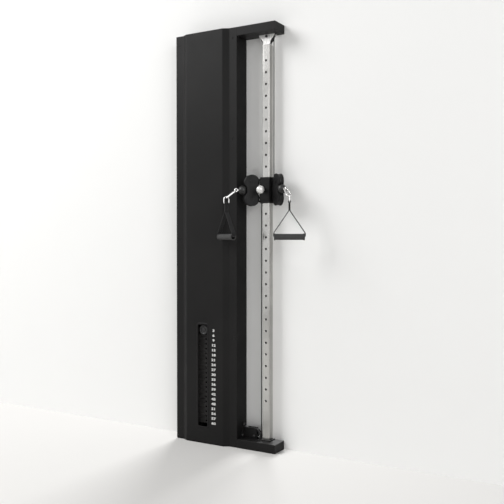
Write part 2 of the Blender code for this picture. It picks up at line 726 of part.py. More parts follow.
def build_lower_bracket():
    edge = housing_right + GAP
    flange_end = edge + LOWER_BRACKET_FLANGE
    seat = ARM_HEIGHT + GAP
    chamfer = LOWER_BRACKET_CHAMFER
    tab = [
        (-LOWER_BRACKET_FRONT, seat),
        (LOWER_BRACKET_BACK, seat),
        (LOWER_BRACKET_BACK, LOWER_BRACKET_TAB_TOP - chamfer),
        (LOWER_BRACKET_BACK - chamfer, LOWER_BRACKET_TAB_TOP),
        (-chamfer, LOWER_BRACKET_TAB_TOP),
        (-LOWER_BRACKET_BACK, LOWER_BRACKET_TOP - chamfer),
        (-LOWER_BRACKET_FRONT, LOWER_BRACKET_TOP - 3 * chamfer),
    ]
    bracket = piece("lower_pulley_bracket", prism(tab, "X", edge, flange_end), "dark_powder")
    root = edge + 2 * WELD_DEPTH
    reach = lower_pulley_x + LOWER_BRACKET_REACH
    cheek = [
        (root, seat),
        (reach, seat),
        (reach, LOWER_BRACKET_TOP - LOWER_CHEEK_CHAMFER),
        (reach - LOWER_CHEEK_CHAMFER, LOWER_BRACKET_TOP),
        (root, LOWER_BRACKET_TOP),
    ]
    for side in (-1, 1):
        join(bracket, prism(cheek, "Y", *sorted((side * bracket_inner, side * bracket_outer))))
    roof_end = lower_pulley_x - PULLEY_PITCH_RADIUS - PULLEY_FLANGE - BRACKET_SHEET
    roof_half = bracket_inner + WELD_DEPTH
    roof_z = (LOWER_BRACKET_TOP - BRACKET_SHEET, LOWER_BRACKET_TOP)
    join(bracket, block((root, roof_end), (-roof_half, roof_half), roof_z))
    ends = (-2 * CUT_REACH, 2 * CUT_REACH)
    spots = [(edge, along, level) for along, level in bracket_holes]
    holes = [rod(BOLT_HOLE_RADIUS, "X", spot, *ends, HOLE_STEPS) for spot in spots]
    cut(bracket, *holes, axle_hole((lower_pulley_x, 0, LOWER_PULLEY_HEIGHT)))
    piece("lower_pulley_axle", bracket_axle((lower_pulley_x, 0, LOWER_PULLEY_HEIGHT)), "steel", smooth=True)


def build_frame_pulleys():
    spots = {
        "column_top_pulley": (0, 0, upper_pulley_z),
        "lower_pulley": (lower_pulley_x, 0, LOWER_PULLEY_HEIGHT),
        "stack_line_pulley": (stack_x, 0, upper_pulley_z),
        "base_pulley": (base_pulley_x, 0, LOWER_PULLEY_HEIGHT),
    }
    for name, spot in spots.items():
        pulley(name, spot)
    pulley("return_pulley", (return_x, 0, return_z), pitch=return_radius)


# Arms, bolts and column

def arm_shell(name, low, high):
    """A rectangular tube from the housing to the arm's free end, with a plate at each end."""
    left = housing_right + GAP
    outer = block((left, ARM_OVERHANG), (front_y, wall_y), (low, high))
    arm = piece(name, outer, "powder")
    inner_x = (left + ARM_END_PLATE, ARM_OVERHANG - ARM_WALL)
    inner_y = (front_y + ARM_WALL, wall_y - ARM_WALL)
    cut(arm, block(inner_x, inner_y, (low + ARM_WALL, high - ARM_WALL)))
    return arm


def build_arms():
    slot_half = bracket_inner - ARM_SLOT_INSET
    top_arm = arm_shell("top_arm", arm_underside, OVERALL_HEIGHT)
    reach = PULLEY_PITCH_RADIUS + CABLE_RADIUS + ARM_SLOT_CLEARANCE
    slot_z = (arm_underside - CUT_REACH, arm_underside + ARM_WALL + CUT_REACH)
    slot = block((-reach, reach), (-slot_half, slot_half), slot_z)
    cut(top_arm, slot, cable_window(housing_right, upper_run_z))

    base_arm = arm_shell("base_arm", 0, ARM_HEIGHT)
    foot_half = FOOT_SIDE / 2
    spigot_half = column_half - COLUMN_WALL - GAP
    foot_top = ARM_HEIGHT + FOOT_THICKNESS
    foot_range = (-foot_half, foot_half)
    join(base_arm, block(foot_range, foot_range, (ARM_HEIGHT - ARM_WALL / 2, foot_top)))
    spigot_range = (-spigot_half, spigot_half)
    join(base_arm, block(spigot_range, spigot_range, (foot_top - 2 * WELD_DEPTH, foot_top + SPIGOT_HEIGHT)))
    slot_x = (lower_pulley_x - reach, lower_pulley_x + reach)
    slot_z = (ARM_HEIGHT - ARM_WALL - CUT_REACH, ARM_HEIGHT + CUT_REACH)
    slot = block(slot_x, (-slot_half, slot_half), slot_z)
    cut(base_arm, slot, cable_window(housing_right, lower_run_z))


def build_column():
    side = (-column_half, column_half)
    column = piece("column", block(side, side, (column_foot_z, column_top_z)), "chrome")
    inner = column_half - COLUMN_WALL
    bore = (-inner, inner)
    cut(column, block(bore, bore, (column_foot_z - CUT_REACH, column_top_z + CUT_REACH)))
    levels = [first_hole_z - index * HOLE_PITCH for index in range(HOLE_COUNT)]
    ends = (-3 * CUT_REACH, -inner + CUT_REACH / 2)
    cut(column, *[rod(HOLE_RADIUS, "Y", (0, 0, level), *ends, HOLE_STEPS) for level in levels])

    seat = column_top_z + GAP
    top = arm_underside - GAP
    yoke = piece("column_yoke", block(side, side, (seat, seat + YOKE_BASE)), "chrome")
    rise = top - seat
    flare = YOKE_FLARE - column_half
    right = [
        (column_half, seat + YOKE_BASE / 2),
        (column_half + flare * 0.04, seat + rise * 0.30),
        (column_half + flare * 0.28, seat + rise * 0.52),
        (column_half + flare * 0.76, seat + rise * 0.78),
        (YOKE_FLARE, top),
    ]
    ear = right + [(-across, level) for across, level in reversed(right)]
    for facing in (-1, 1):
        join(yoke, prism(ear, "Y", *sorted((facing * bracket_inner, facing * bracket_outer))))
    plug = column_half - COLUMN_WALL - GAP
    join(yoke, block((-plug, plug), (-plug, plug), (seat - YOKE_PLUG, seat + YOKE_BASE / 2)))
    cut(yoke, axle_hole((0, 0, upper_pulley_z)))
    piece("column_pulley_axle", bracket_axle((0, 0, upper_pulley_z)), "steel", smooth=True)


# Cable: one line from the left handle to the right handle

def build_cables():
    radius = PULLEY_PITCH_RADIUS
    column_line = radius
    over = arc((stack_x, upper_pulley_z), radius, 180, 90, 6) + arc((0, upper_pulley_z), radius, 90, 0, 6)
    back_over = arc((return_x, return_z), return_radius, 180, 0, 12)
    under = arc((base_pulley_x, LOWER_PULLEY_HEIGHT), radius, 180, 270, 6)
    lower = arc((lower_pulley_x, LOWER_PULLEY_HEIGHT), radius, 270, 360, 6)
    tube("upper_cable", flat_run(over), CABLE_RADIUS, "cable")
    tube("lower_cable", flat_run(back_over + under + lower), CABLE_RADIUS, "cable")

    bight = arc((stack_x, stack_pulley_z), radius, 180, 360, 12)
    left_top = (stack_x - radius, upper_pulley_z - GAP)
    right_top = (stack_x + radius, return_z - GAP)
    tube("stack_cable", flat_run([left_top] + bight + [right_top]), CABLE_RADIUS, "cable")

    mouth = sleeve_half + CABLE_MOUTH
    left_run = [(-column_line, LOWER_PULLEY_HEIGHT + GAP), (-column_line, carriage_z - mouth)]
    right_run = [(column_line, upper_pulley_z - GAP), (column_line, carriage_z + mouth)]
    tube("left_cable_run", flat_run(left_run), CABLE_RADIUS, "cable")
    tube("right_cable_run", flat_run(right_run), CABLE_RADIUS, "cable")


# Carriage

def square(half):
    return [(-half, -half), (half, -half), (half, half), (-half, half)]


def build_carriage(carriage):
    tall = (-sleeve_half, sleeve_half)
    sleeve = piece("carriage_sleeve", prism(square(sleeve_outer), "Z", *tall), "powder", carriage)
    boss_half = BOSS_WIDTH / 2
    boss_y = (boss_front, -sleeve_inner - WELD_DEPTH)
    join(sleeve, block((-boss_half, boss_half), boss_y, (-lug_inner, lug_inner)))
    for level in (-1, 1):
        reach = PULLEY_PITCH_RADIUS + LUG_REACH
        outline = [
            (-reach, level * lug_inner),
            (reach, level * lug_inner),
            (reach, level * (sleeve_half - LUG_CHAMFER)),
            (reach - LUG_CHAMFER, level * sleeve_half),
            (-reach + LUG_CHAMFER, level * sleeve_half),
            (-reach, level * (sleeve_half - LUG_CHAMFER)),
        ]
        join(sleeve, prism(outline, "Y", -LUG_HALF_DEPTH, LUG_HALF_DEPTH))
        band_z = sorted((level * lug_inner, level * sleeve_half))
        band_y = (-sleeve_outer - BAND_DEPTH, -sleeve_inner - WELD_DEPTH)
        join(sleeve, block((-sleeve_outer, sleeve_outer), band_y, band_z))
    join(sleeve, rod(BARREL_RADIUS, "Y", (0, 0, 0), barrel_front, boss_front + 3 * WELD_DEPTH, FINE_STEPS))
    through = (-sleeve_half - CUT_REACH, sleeve_half + CUT_REACH)
    inside = (-sleeve_inner, sleeve_inner)
    cut(sleeve, block(inside, inside, through))
    swivels = []
    for side in (-1, 1):
        centre = (side * PULLEY_PITCH_RADIUS, 0, 0)
        hole = SWIVEL_PIN_RADIUS + SWIVEL_PIN_CLEARANCE
        for level in (-1, 1):
            ends = sorted((level * (lug_inner - CUT_REACH), level * (sleeve_half + CUT_REACH)))
            swivels.append(rod(hole, "Z", centre, *ends, SMALL_STEPS))
    pin_ends = (barrel_front + CUT_REACH / 2, -column_half)
    pin_bore = rod(PULL_PIN_RADIUS + GAP, "Y", (0, 0, 0), *pin_ends, SMALL_STEPS)
    pocket_end = barrel_front + PULL_PIN_DROP + PULL_PIN_STOP
    pocket = rod(PULL_SKIRT_RADIUS + GAP, "Y", (0, 0, 0), barrel_front - CUT_REACH, pocket_end, FINE_STEPS)
    cut(sleeve, pocket, *swivels)
    cut(sleeve, pin_bore)

    liner = piece("sleeve_liner", prism(square(liner_outer), "Z", *tall), "pale_plastic", carriage)
    inner = (-liner_inner, liner_inner)
    cut(liner, block(inner, inner, through))
    liner_ends = (-liner_outer - CUT_REACH, -column_half)
    cut(liner, rod(PULL_PIN_RADIUS + GAP, "Y", (0, 0, 0), *liner_ends, SMALL_STEPS))


def build_pull_pin(carriage):
    """The pin is drawn out until its tip just clears the column. From there it drops into a hole."""
    tip = -column_half - GAP
    centre = barrel_front - PULL_KNOB_STANDOFF - PULL_KNOB_RADIUS
    knob_back = barrel_front - PULL_PIN_DROP - GAP
    chamfer = PULL_PIN_CHAMFER
    last = math.degrees(math.asin((knob_back - centre) / PULL_KNOB_RADIUS))
    profile = [(0, centre - PULL_KNOB_RADIUS)] + arc((0, centre), PULL_KNOB_RADIUS, -70, last, 6)
    profile += [(PULL_SKIRT_RADIUS, knob_back), (PULL_SKIRT_RADIUS, barrel_front + chamfer)]
    profile += [(PULL_PIN_RADIUS, barrel_front + chamfer), (PULL_PIN_RADIUS, tip - chamfer)]
    profile += [(PULL_PIN_RADIUS - chamfer, tip), (0, tip)]
    piece("pull_pin", turned(profile, "Y", steps=FINE_STEPS, ring=False), "chrome", carriage, smooth=True)


# Swivelling heads. Across runs from the swivel's axis outwards, and the head's plates face its local Y.

def head_outline():
    """Two discs, one above the other, joined by a straight waist."""
    half = DISC_SPACING / 2
    turn = math.degrees(math.acos(WAIST_HALF / DISC_RADIUS))
    upper = arc((HEAD_REACH, half), DISC_RADIUS, -turn, 180 + turn, 18)
    lower = arc((HEAD_REACH, -half), DISC_RADIUS, 180 - turn, 360 + turn, 18)
    return upper + lower


def build_head_frame(side, axis):
    pin_end = sleeve_half - GAP
    shoulder = lug_inner - GAP
    profile = [
        (SWIVEL_BORE_RADIUS, -pin_end),
        (SWIVEL_PIN_RADIUS, -pin_end),
        (SWIVEL_PIN_RADIUS, -shoulder),
        (SWIVEL_RADIUS, -shoulder),
        (SWIVEL_RADIUS, shoulder),
        (SWIVEL_PIN_RADIUS, shoulder),
        (SWIVEL_PIN_RADIUS, pin_end),
        (SWIVEL_BORE_RADIUS, pin_end),
    ]
    frame = piece(side + "_head_frame", turned(profile, "Z", steps=SMALL_STEPS), "black_plastic", axis)
    tongue_start = HEAD_REACH - WAIST_HALF
    for facing in (-1, 1):
        y_range = sorted((facing * head_inner, facing * head_outer))
        join(frame, prism(head_outline(), "Y", *y_range))
        join(frame, block((WEB_START, tongue_start + 2 * WELD_DEPTH), y_range, (-TONGUE_HALF, TONGUE_HALF)))
    web_z = (-WEB_HALF_HEIGHT, WEB_HALF_HEIGHT)
    web_x = (SWIVEL_BORE_RADIUS + WELD_DEPTH, WEB_END)
    join(frame, block(web_x, (-WEB_HALF_DEPTH, WEB_HALF_DEPTH), web_z))
    web_y = (-head_inner - WELD_DEPTH, head_inner + WELD_DEPTH)
    join(frame, block((WEB_START, WEB_END), web_y, web_z))
    mouth_x = (MOUTH_START, (SWIVEL_RADIUS + WEB_START) / 2)
    mouth_start = WEB_HALF_HEIGHT + MOUTH_MARGIN
    cuts = [axle_hole((HEAD_REACH, 0, level * DISC_SPACING / 2)) for level in (-1, 1)]
    for level in (-1, 1):
        ends = sorted((level * mouth_start, level * shoulder))
        cuts.append(block(mouth_x, (-SWIVEL_BORE_RADIUS, SWIVEL_BORE_RADIUS), ends))
    cut(frame, *cuts)


def tangent_point(start, centre, radius, turn):
    """Where a line from start touches the circle; turn is +1 or -1 for the two sides."""
    away = (start[0] - centre[0], start[1] - centre[1])
    distance = math.hypot(*away)
    angle = math.atan2(away[1], away[0]) + turn * math.acos(radius / distance)
    return math.degrees(angle)


def head_cable_run(level):
    """The cable from the swivel's mouth, over the wheel at that level, to the ball."""
    mouth = sleeve_half + CABLE_MOUTH - GAP
    bend = (0, level * (lug_inner - CABLE_BEND_INSET))
    centre = (HEAD_REACH, level * DISC_SPACING / 2)
    ball = (ball_reach - BALL_RADIUS - GAP, 0)
    start = tangent_point(bend, centre, WHEEL_PITCH_RADIUS, level)
    end = tangent_point(ball, centre, WHEEL_PITCH_RADIUS, -level)
    if level < 0:
        start = start % 360
        end = end % 360
    else:
        start = -((-start) % 360)
        end = -((-end) % 360)
    return [(0, level * mouth), bend] + arc(centre, WHEEL_PITCH_RADIUS, start, end, 8) + [ball]


def build_head(side, axis, level):
    """Level is -1 where the cable comes from below and +1 where it comes from above."""
    build_head_frame(side, axis)
    half = head_outer + GAP
    for name, spot in (("upper", 1), ("lower", -1)):
        centre = (HEAD_REACH, 0, spot * DISC_SPACING / 2)
        label = side + "_" + name
        pulley(label + "_wheel", centre, axis, WHEEL_PITCH_RADIUS, WHEEL_WIDTH, HEAD_SPACE)
        height = HEAD_BOLT_HEIGHT
        axle = bolt("Y", (0, 0, 0), height, -half, half, height, HEAD_BOLT_RADIUS)
        piece(label + "_wheel_bolt", axle, "steel", axis, centre, smooth=True)
    tube(side + "_head_cable", flat_run(head_cable_run(level)), CABLE_RADIUS, "cable", axis)


# Cable end and snap hook, in the head's own axes

hook_along = (math.cos(math.radians(HOOK_DROOP)), -math.sin(math.radians(HOOK_DROOP)))
eye_x = ball_reach + BALL_RADIUS + GAP + EYE_SHANK_LENGTH + EYE_RING_RADIUS
eye_slack = EYE_RING_RADIUS - EYE_WIRE_RADIUS - HOOK_WIRE_RADIUS - GAP
hook_top = (eye_x + eye_slack * hook_along[0], eye_slack * hook_along[1])


def hook_point(along, across):
    """A point of the snap hook: along runs down its length from its top, across is the head's local Y."""
    return (hook_top[0] + along * hook_along[0], across, hook_top[1] + along * hook_along[1])


hang_spot = hook_point(HOOK_LENGTH, 0)


def build_cable_end(side, axis):
    steps = 9
    profile = []
    for step in range(steps + 1):
        angle = math.pi * step / steps
        profile.append((BALL_RADIUS * math.sin(angle), -BALL_RADIUS * math.cos(angle)))
    ball = turned(profile, "X", steps=18, ring=False)
    piece(side + "_ball_stop", ball, "rubber", axis, (ball_reach, 0, 0), smooth=True)

    circle = arc((EYE_RING_RADIUS, 0), EYE_WIRE_RADIUS, 0, 360, 8)[:-1]
    ring = turned(circle, "Y", steps=16)
    eye = piece(side + "_cable_eye", ring, "chrome", axis, (eye_x, 0, 0), smooth=True)
    start = -EYE_RING_RADIUS - EYE_SHANK_LENGTH
    join(eye, rod(EYE_SHANK_RADIUS, "X", (0, 0, 0), start, -EYE_RING_RADIUS, SMALL_STEPS))


def build_hook(side, axis):
    """An oval wire hook whose gate closes the gap on one side."""
    width = HOOK_HALF_WIDTH
    lower = arc((HOOK_LENGTH - width, 0), width, 90, -90, 8)
    upper = arc((width, 0), width, 270, 90, 8)
    outline = [(HOOK_LENGTH - GATE_END, width)] + lower + upper + [(GATE_START, width)]
    path = [hook_point(along, across) for along, across in outline]
    tube(side + "_snap_hook", path, HOOK_WIRE_RADIUS, "chrome", axis)

    hinge = hook_point(GATE_START + GAP + GATE_RADIUS, width)
    length = HOOK_LENGTH - GATE_END - GATE_NOSE_GAP - (GATE_START + GAP + GATE_RADIUS)
    profile = [(0, -GATE_RADIUS)]
    profile += [(GATE_RADIUS * math.cos(turn), GATE_RADIUS * math.sin(turn)) for turn in (-1.05, -0.52, 0)]
    profile += [(GATE_RADIUS, length), (0, length)]
    gate = turned(profile, "Z", steps=SMALL_STEPS, ring=False)
    gate.transform(Matrix.Rotation(math.radians(90 + HOOK_DROOP), 4, "Y"))
    piece(side + "_hook_gate", gate, "chrome", axis, hinge, smooth=True)


# Handle, in its own axes: X along the grip, Z up from the grip's axis

ring_top = HOOK_WIRE_RADIUS + RING_WIRE_RADIUS + GAP
ring_bottom = ring_top - RING_HEIGHT
grip_z = ring_bottom - STRAP_DROP


def build_ring(side, handle):
    half = RING_HALF_WIDTH
    arch = arc((0, ring_top - half), half, 0, 180, 10)
    left = arc((-half + RING_CORNER, ring_bottom + RING_CORNER), RING_CORNER, 180, 270, 2)
    right = arc((half - RING_CORNER, ring_bottom + RING_CORNER), RING_CORNER, 270, 360, 2)
    path = [(0, across, up) for across, up in arch + left + right]
    tube(side + "_d_ring", path, RING_WIRE_RADIUS, "chrome", handle, closed=True)


def build_strap(side, handle):
    """A webbing loop: round the ring's bar, down a doubled stem, out on two legs, through the grip."""
    thick = STRAP_THICKNESS
    bar = STRAP_DROP
    eye = RING_WIRE_RADIUS + 2 * GAP
    outer_eye = eye + thick
    end = GRIP_LENGTH / 2 + GRIP_END_CLEARANCE
    corner = GRIP_CAP_RADIUS + 2 * GAP
    fork = bar - outer_eye - STRAP_STEM
    shoulder = math.degrees(math.asin(thick / outer_eye))
    loop = arc((0, bar), outer_eye, -90 + shoulder, 270 - shoulder, 12)
    left = [(-thick, fork), (-end - thick, corner), (-end - thick, -thick / 2)]
    right = [(end + thick, -thick / 2), (end + thick, corner), (thick, fork)]
    half = STRAP_WIDTH / 2
    shape = prism(loop + left + right, "Y", -half, half)
    strap = piece(side + "_strap", shape, "webbing", handle, (0, 0, grip_z))
    slant = math.atan2(fork - corner, end)
    peak = fork - thick * (1 / math.cos(slant) - math.tan(slant))
    hollow = [(-end, thick / 2), (end, thick / 2), (end, corner), (0, peak), (-end, corner)]
    ends = (-STRAP_WIDTH, STRAP_WIDTH)
    cut(strap, prism(hollow, "Y", *ends), rod(eye, "Y", (0, 0, bar), *ends, SMALL_STEPS))


def build_grip(side, handle):
    half = GRIP_LENGTH / 2
    inner = half - GRIP_CAP_LENGTH
    chamfer = GRIP_CAP_CHAMFER
    profile = [
        (GRIP_BORE_RADIUS, -half),
        (GRIP_CAP_RADIUS - chamfer, -half),
        (GRIP_CAP_RADIUS, -half + chamfer),
        (GRIP_CAP_RADIUS, -inner - chamfer),
        (GRIP_RADIUS, -inner),
        (GRIP_RADIUS, inner),
        (GRIP_CAP_RADIUS, inner + chamfer),
        (GRIP_CAP_RADIUS, half - chamfer),
        (GRIP_CAP_RADIUS - chamfer, half),
        (GRIP_BORE_RADIUS, half),
    ]
    shape = turned(profile, "X", steps=20)
    piece(side + "_grip", shape, "rubber", handle, (0, 0, grip_z), smooth=True)


def build_side(side, carriage):
    """One head with its wheels, cable end, snap hook and handle."""
    left = side == "left"
    swing = math.radians(LEFT_HEAD_SWING if left else RIGHT_HEAD_SWING)
    line = -PULLEY_PITCH_RADIUS if left else PULLEY_PITCH_RADIUS
    axis = link(side + "_head_axis", None, carriage, (line, 0, 0))
    axis.rotation_euler.z = math.pi + swing if left else -swing
    build_head(side, axis, -1 if left else 1)
    build_cable_end(side, axis)
    build_hook(side, axis)
    handle = link(side + "_handle_axis", None, axis, hang_spot)
    grip_turn = -math.radians(GRIP_TURN) if left else math.radians(GRIP_TURN)
    handle.rotation_euler.z = grip_turn - axis.rotation_euler.z
    build_ring(side, handle)
    build_strap(side, handle)
    build_grip(side, handle)


def main():
    build_cover()
    build_shell()
    build_closures()
    build_guides()
    build_stack()
    build_stem()
    build_selector_pin()
    build_carrier()
    build_lower_bracket()
    build_frame_pulleys()
    build_arms()
    build_column()
    build_cables()
    carriage = link("carriage_axis", None, place=(0, 0, carriage_z))
    build_carriage(carriage)
    build_pull_pin(carriage)
    for side in ("left", "right"):
        build_side(side, carriage)


main()
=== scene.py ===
import json
import math

import bmesh
import bpy
from mathutils import Matrix, Vector


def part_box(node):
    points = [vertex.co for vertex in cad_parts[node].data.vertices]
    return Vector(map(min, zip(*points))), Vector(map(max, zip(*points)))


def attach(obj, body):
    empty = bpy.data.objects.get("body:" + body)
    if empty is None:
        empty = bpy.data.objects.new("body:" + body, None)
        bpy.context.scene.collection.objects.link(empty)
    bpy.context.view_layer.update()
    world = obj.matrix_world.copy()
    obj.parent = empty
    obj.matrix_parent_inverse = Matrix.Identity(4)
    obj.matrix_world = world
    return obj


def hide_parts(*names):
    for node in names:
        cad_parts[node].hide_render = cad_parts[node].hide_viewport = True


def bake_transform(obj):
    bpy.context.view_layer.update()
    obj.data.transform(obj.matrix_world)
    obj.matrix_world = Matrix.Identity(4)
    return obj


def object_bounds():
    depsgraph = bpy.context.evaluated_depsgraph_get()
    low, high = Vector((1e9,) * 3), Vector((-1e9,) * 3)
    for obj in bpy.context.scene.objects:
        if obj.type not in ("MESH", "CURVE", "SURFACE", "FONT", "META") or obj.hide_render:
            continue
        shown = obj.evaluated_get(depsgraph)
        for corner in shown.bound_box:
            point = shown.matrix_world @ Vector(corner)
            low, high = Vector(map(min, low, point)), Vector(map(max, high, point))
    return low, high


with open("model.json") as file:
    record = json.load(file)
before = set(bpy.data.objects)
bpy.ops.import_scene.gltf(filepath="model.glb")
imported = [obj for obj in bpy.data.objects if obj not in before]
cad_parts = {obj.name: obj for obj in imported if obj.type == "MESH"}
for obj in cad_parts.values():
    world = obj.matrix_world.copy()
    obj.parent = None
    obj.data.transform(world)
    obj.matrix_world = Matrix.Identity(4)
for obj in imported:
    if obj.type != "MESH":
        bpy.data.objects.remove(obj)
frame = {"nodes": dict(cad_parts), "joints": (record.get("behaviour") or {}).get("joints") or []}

cadLow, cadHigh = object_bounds()
print("frame loaded:", len(frame["nodes"]), "nodes")

# X runs to the right along the wall, Y towards the wall, Z up, in metres. The origin is on the
# floor under the column. Places come from the frame's own boxes and joints.

jointPlace = {joint["name"]: Vector(joint["pos_m"]) for joint in frame["joints"] if "pos_m" in joint}
slack = 0.0003  # left between pieces that touch or turn in each other


def middleOf(node):
    low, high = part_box(node)
    return (low + high) / 2


def show(name, data):
    made = bpy.data.objects.new(name, data)
    bpy.context.scene.collection.objects.link(made)
    return made


# Camera, light and floor

cameraSet = {
    "place": (1.78186, -3.22964, 1.08003),
    "turn": 30.1372,
    "tilt": -1.01719,
    "focal": 718.557,  # in pixels of a picture 504 wide
    "pictureWidth": 504,
}

studio = {
    "skyStrength": 0.25,
    "floorColour": (0.80, 0.79, 0.77),
    "wallColour": (0.94, 0.94, 0.93),
    "reach": 7.0,
    "floorGap": 0.0006,
    "wallGap": 0.0015,
    "lamps": {
        # place, aim, length of a side, watts
        "windowLamp": ((-3.9, -3.2, 4.9), (-0.2, 0.0, 1.2), 3.2, 270),
        "rightLamp": ((4.2, -3.4, 2.6), (0.0, 0.0, 1.2), 3.0, 90),
        "backLamp": ((-1.6, 4.6, 3.6), (-0.3, 0.0, 1.1), 2.6, 260),
    },
}


def addCamera():
    lens = bpy.data.cameras.new("camera")
    lens.sensor_width = 36
    lens.lens = cameraSet["focal"] / cameraSet["pictureWidth"] * lens.sensor_width
    camera = show("camera", lens)
    camera.location = cameraSet["place"]
    camera.rotation_euler = (math.radians(90 + cameraSet["tilt"]), 0, math.radians(cameraSet["turn"]))
    bpy.context.scene.camera = camera


def addLamp(name, place, aim, side, watts):
    lamp = bpy.data.lights.new(name, "AREA")
    lamp.shape = "RECTANGLE"
    lamp.size = lamp.size_y = side
    lamp.energy = watts
    holder = show(name, lamp)
    holder.location = place
    holder.rotation_euler = (Vector(aim) - Vector(place)).to_track_quat("-Z", "Y").to_euler()


def plug(socket, value):
    # another node's socket is linked in, and anything else is set as it is
    if isinstance(value, bpy.types.NodeSocket):
        socket.id_data.links.new(value, socket)
    else:
        socket.default_value = (*value, 1) if socket.type == "RGBA" and len(value) == 3 else value


def addNode(tree, kind, **inputs):
    # an input's name is written without its spaces
    made = tree.nodes.new("ShaderNode" + kind)
    for label, value in inputs.items():
        plug(next(socket for socket in made.inputs if socket.name.replace(" ", "") == label), value)
    return made


def calculate(operation, first, second=0.0):
    known = second if isinstance(first, float) else first
    made = addNode(known.id_data, "Math")
    made.operation = operation
    plug(made.inputs[0], first)
    plug(made.inputs[1], second)
    return made.outputs[0]


def mixShaders(factor, first, second):
    mix = addNode(factor.id_data, "MixShader")
    for socket, value in zip(mix.inputs, (factor, first, second)):
        plug(socket, value)
    return mix.outputs[0]


def addWorld(strength):
    world = bpy.data.worlds.new("studioAir")
    world.use_nodes = True
    tree = world.node_tree
    tree.nodes.clear()
    path = addNode(tree, "LightPath").outputs
    seen = calculate("MAXIMUM", path["Is Camera Ray"], path["Is Glossy Ray"])
    seen = calculate("MAXIMUM", seen, path["Is Transmission Ray"])
    light = addNode(tree, "Background", Color=(1, 1, 1), Strength=strength)
    backdrop = addNode(tree, "Background", Color=(1, 1, 1), Strength=1.0)
    addNode(tree, "OutputWorld", Surface=mixShaders(seen, light.outputs[0], backdrop.outputs[0]))
    bpy.context.scene.world = world


def addSheetOfStage(name, corners, colour, oneSided=False):
    mesh = bpy.data.meshes.new(name)
    mesh.from_pydata(corners, [], [(0, 1, 2, 3)])
    sheet = show(name, mesh)
    paint = bpy.data.materials.new(name + "Paint")
    paint.use_nodes = True
    tree = paint.node_tree
    shader = tree.nodes["Principled BSDF"]
    for label, value in (("Base Color", colour), ("Roughness", 0.8), ("Specular IOR Level", 0.2)):
        plug(shader.inputs[label], value)
    if oneSided:  # only a backdrop to look at: it takes no light from the object's back
        path = addNode(tree, "LightPath").outputs
        front = calculate("SUBTRACT", 1.0, addNode(tree, "NewGeometry").outputs["Backfacing"])
        seen = calculate("MAXIMUM", path["Is Camera Ray"], path["Is Glossy Ray"])
        clear = addNode(tree, "BsdfTransparent").outputs[0]
        mixed = mixShaders(calculate("MULTIPLY", front, seen), clear, shader.outputs[0])
        plug(tree.nodes["Material Output"].inputs["Surface"], mixed)
    mesh.materials.append(paint)


def addStudio():
    addWorld(studio["skyStrength"])
    reach = studio["reach"]
    level = cadLow.z - studio["floorGap"]
    wall = cadHigh.y + studio["wallGap"]
    square = ((-reach, -reach), (reach, -reach), (reach, reach), (-reach, reach))
    addSheetOfStage("floor", [(x, y, level) for x, y in square], studio["floorColour"])
    upright = [(x, wall, max(y, level)) for x, y in square]
    addSheetOfStage("backdrop", upright, studio["wallColour"], oneSided=True)
    for name, lampSet in studio["lamps"].items():
        addLamp(name, *lampSet)
    bpy.context.scene.view_settings.view_transform = "Standard"


addCamera()
addStudio()
print("studio ready")


# Finishes. Noise runs in each piece's own space, webbing and cable in the length laid out along
# them. Each kind gives a colour, a roughness and its bumps, as (height, depth in metres).

def noiseAt(space, size, detail=3.0, stretch=None):
    # size is about how far apart the spots are, in metres; stretch draws them out along an axis
    tree = space.id_data
    if stretch:
        space = addNode(tree, "Mapping", Vector=space, Scale=stretch).outputs[0]
    return addNode(tree, "TexNoise", Vector=space, Scale=1 / size, Detail=detail).outputs["Fac"]


def between(factor, low, high, start=0.3, end=0.7):
    ends = {"FromMin": start, "FromMax": end, "ToMin": low, "ToMax": high}
    return addNode(factor.id_data, "MapRange", Value=factor, **ends).outputs[0]


def mixColours(factor, first, second):
    mix = addNode(factor.id_data, "Mix")
    mix.data_type = "RGBA"
    for index, value in ((0, factor), (6, first), (7, second)):
        plug(mix.inputs[index], value)
    return mix.outputs[2]


def toned(look, factor, *ends):
    return mixColours(between(factor, 0.0, 1.0, *ends), look["dark"], look["light"])


def worn(look, space, colour):
    # the faces marked as edges, broken up by noise, show the wear's colour
    marked = addNode(space.id_data, "Attribute")
    marked.attribute_name = "edge"
    broken = between(noiseAt(space, 0.006, 4.0), 0.0, look["wear"], 0.42, 0.66)
    return mixColours(calculate("MULTIPLY", marked.outputs["Fac"], broken), colour, look["wearColour"])


def laidOut(space):
    # UV across or round the piece, and along it in metres
    tree = space.id_data
    return addNode(tree, "SeparateXYZ", Vector=addNode(tree, "UVMap").outputs[0]).outputs


def waves(place, perMetre):
    return calculate("MULTIPLY", place, math.tau * perMetre)


def makeFinish(name, kind, look):
    made = bpy.data.materials.new(name)
    made.use_nodes = True
    shader = made.node_tree.nodes["Principled BSDF"]
    shader.inputs["Metallic"].default_value = look.get("metallic", 0.0)
    shader.inputs["Specular IOR Level"].default_value = look.get("specular", 0.5)
    shader.inputs["Sheen Weight"].default_value = look.get("sheen", 0.0)
    space = addNode(made.node_tree, "TexCoord").outputs["Object"]
    colour, roughness, bumps = kind(look, space)
    plug(shader.inputs["Base Color"], colour)
    plug(shader.inputs["Roughness"], roughness)
    normal = None
    for height, depth in bumps:
        bump = addNode(made.node_tree, "Bump", Height=height, Distance=depth, Strength=1.0)
        if normal:
            plug(bump.inputs["Normal"], normal)
        normal = bump.outputs[0]
    plug(shader.inputs["Normal"], normal)
    return made


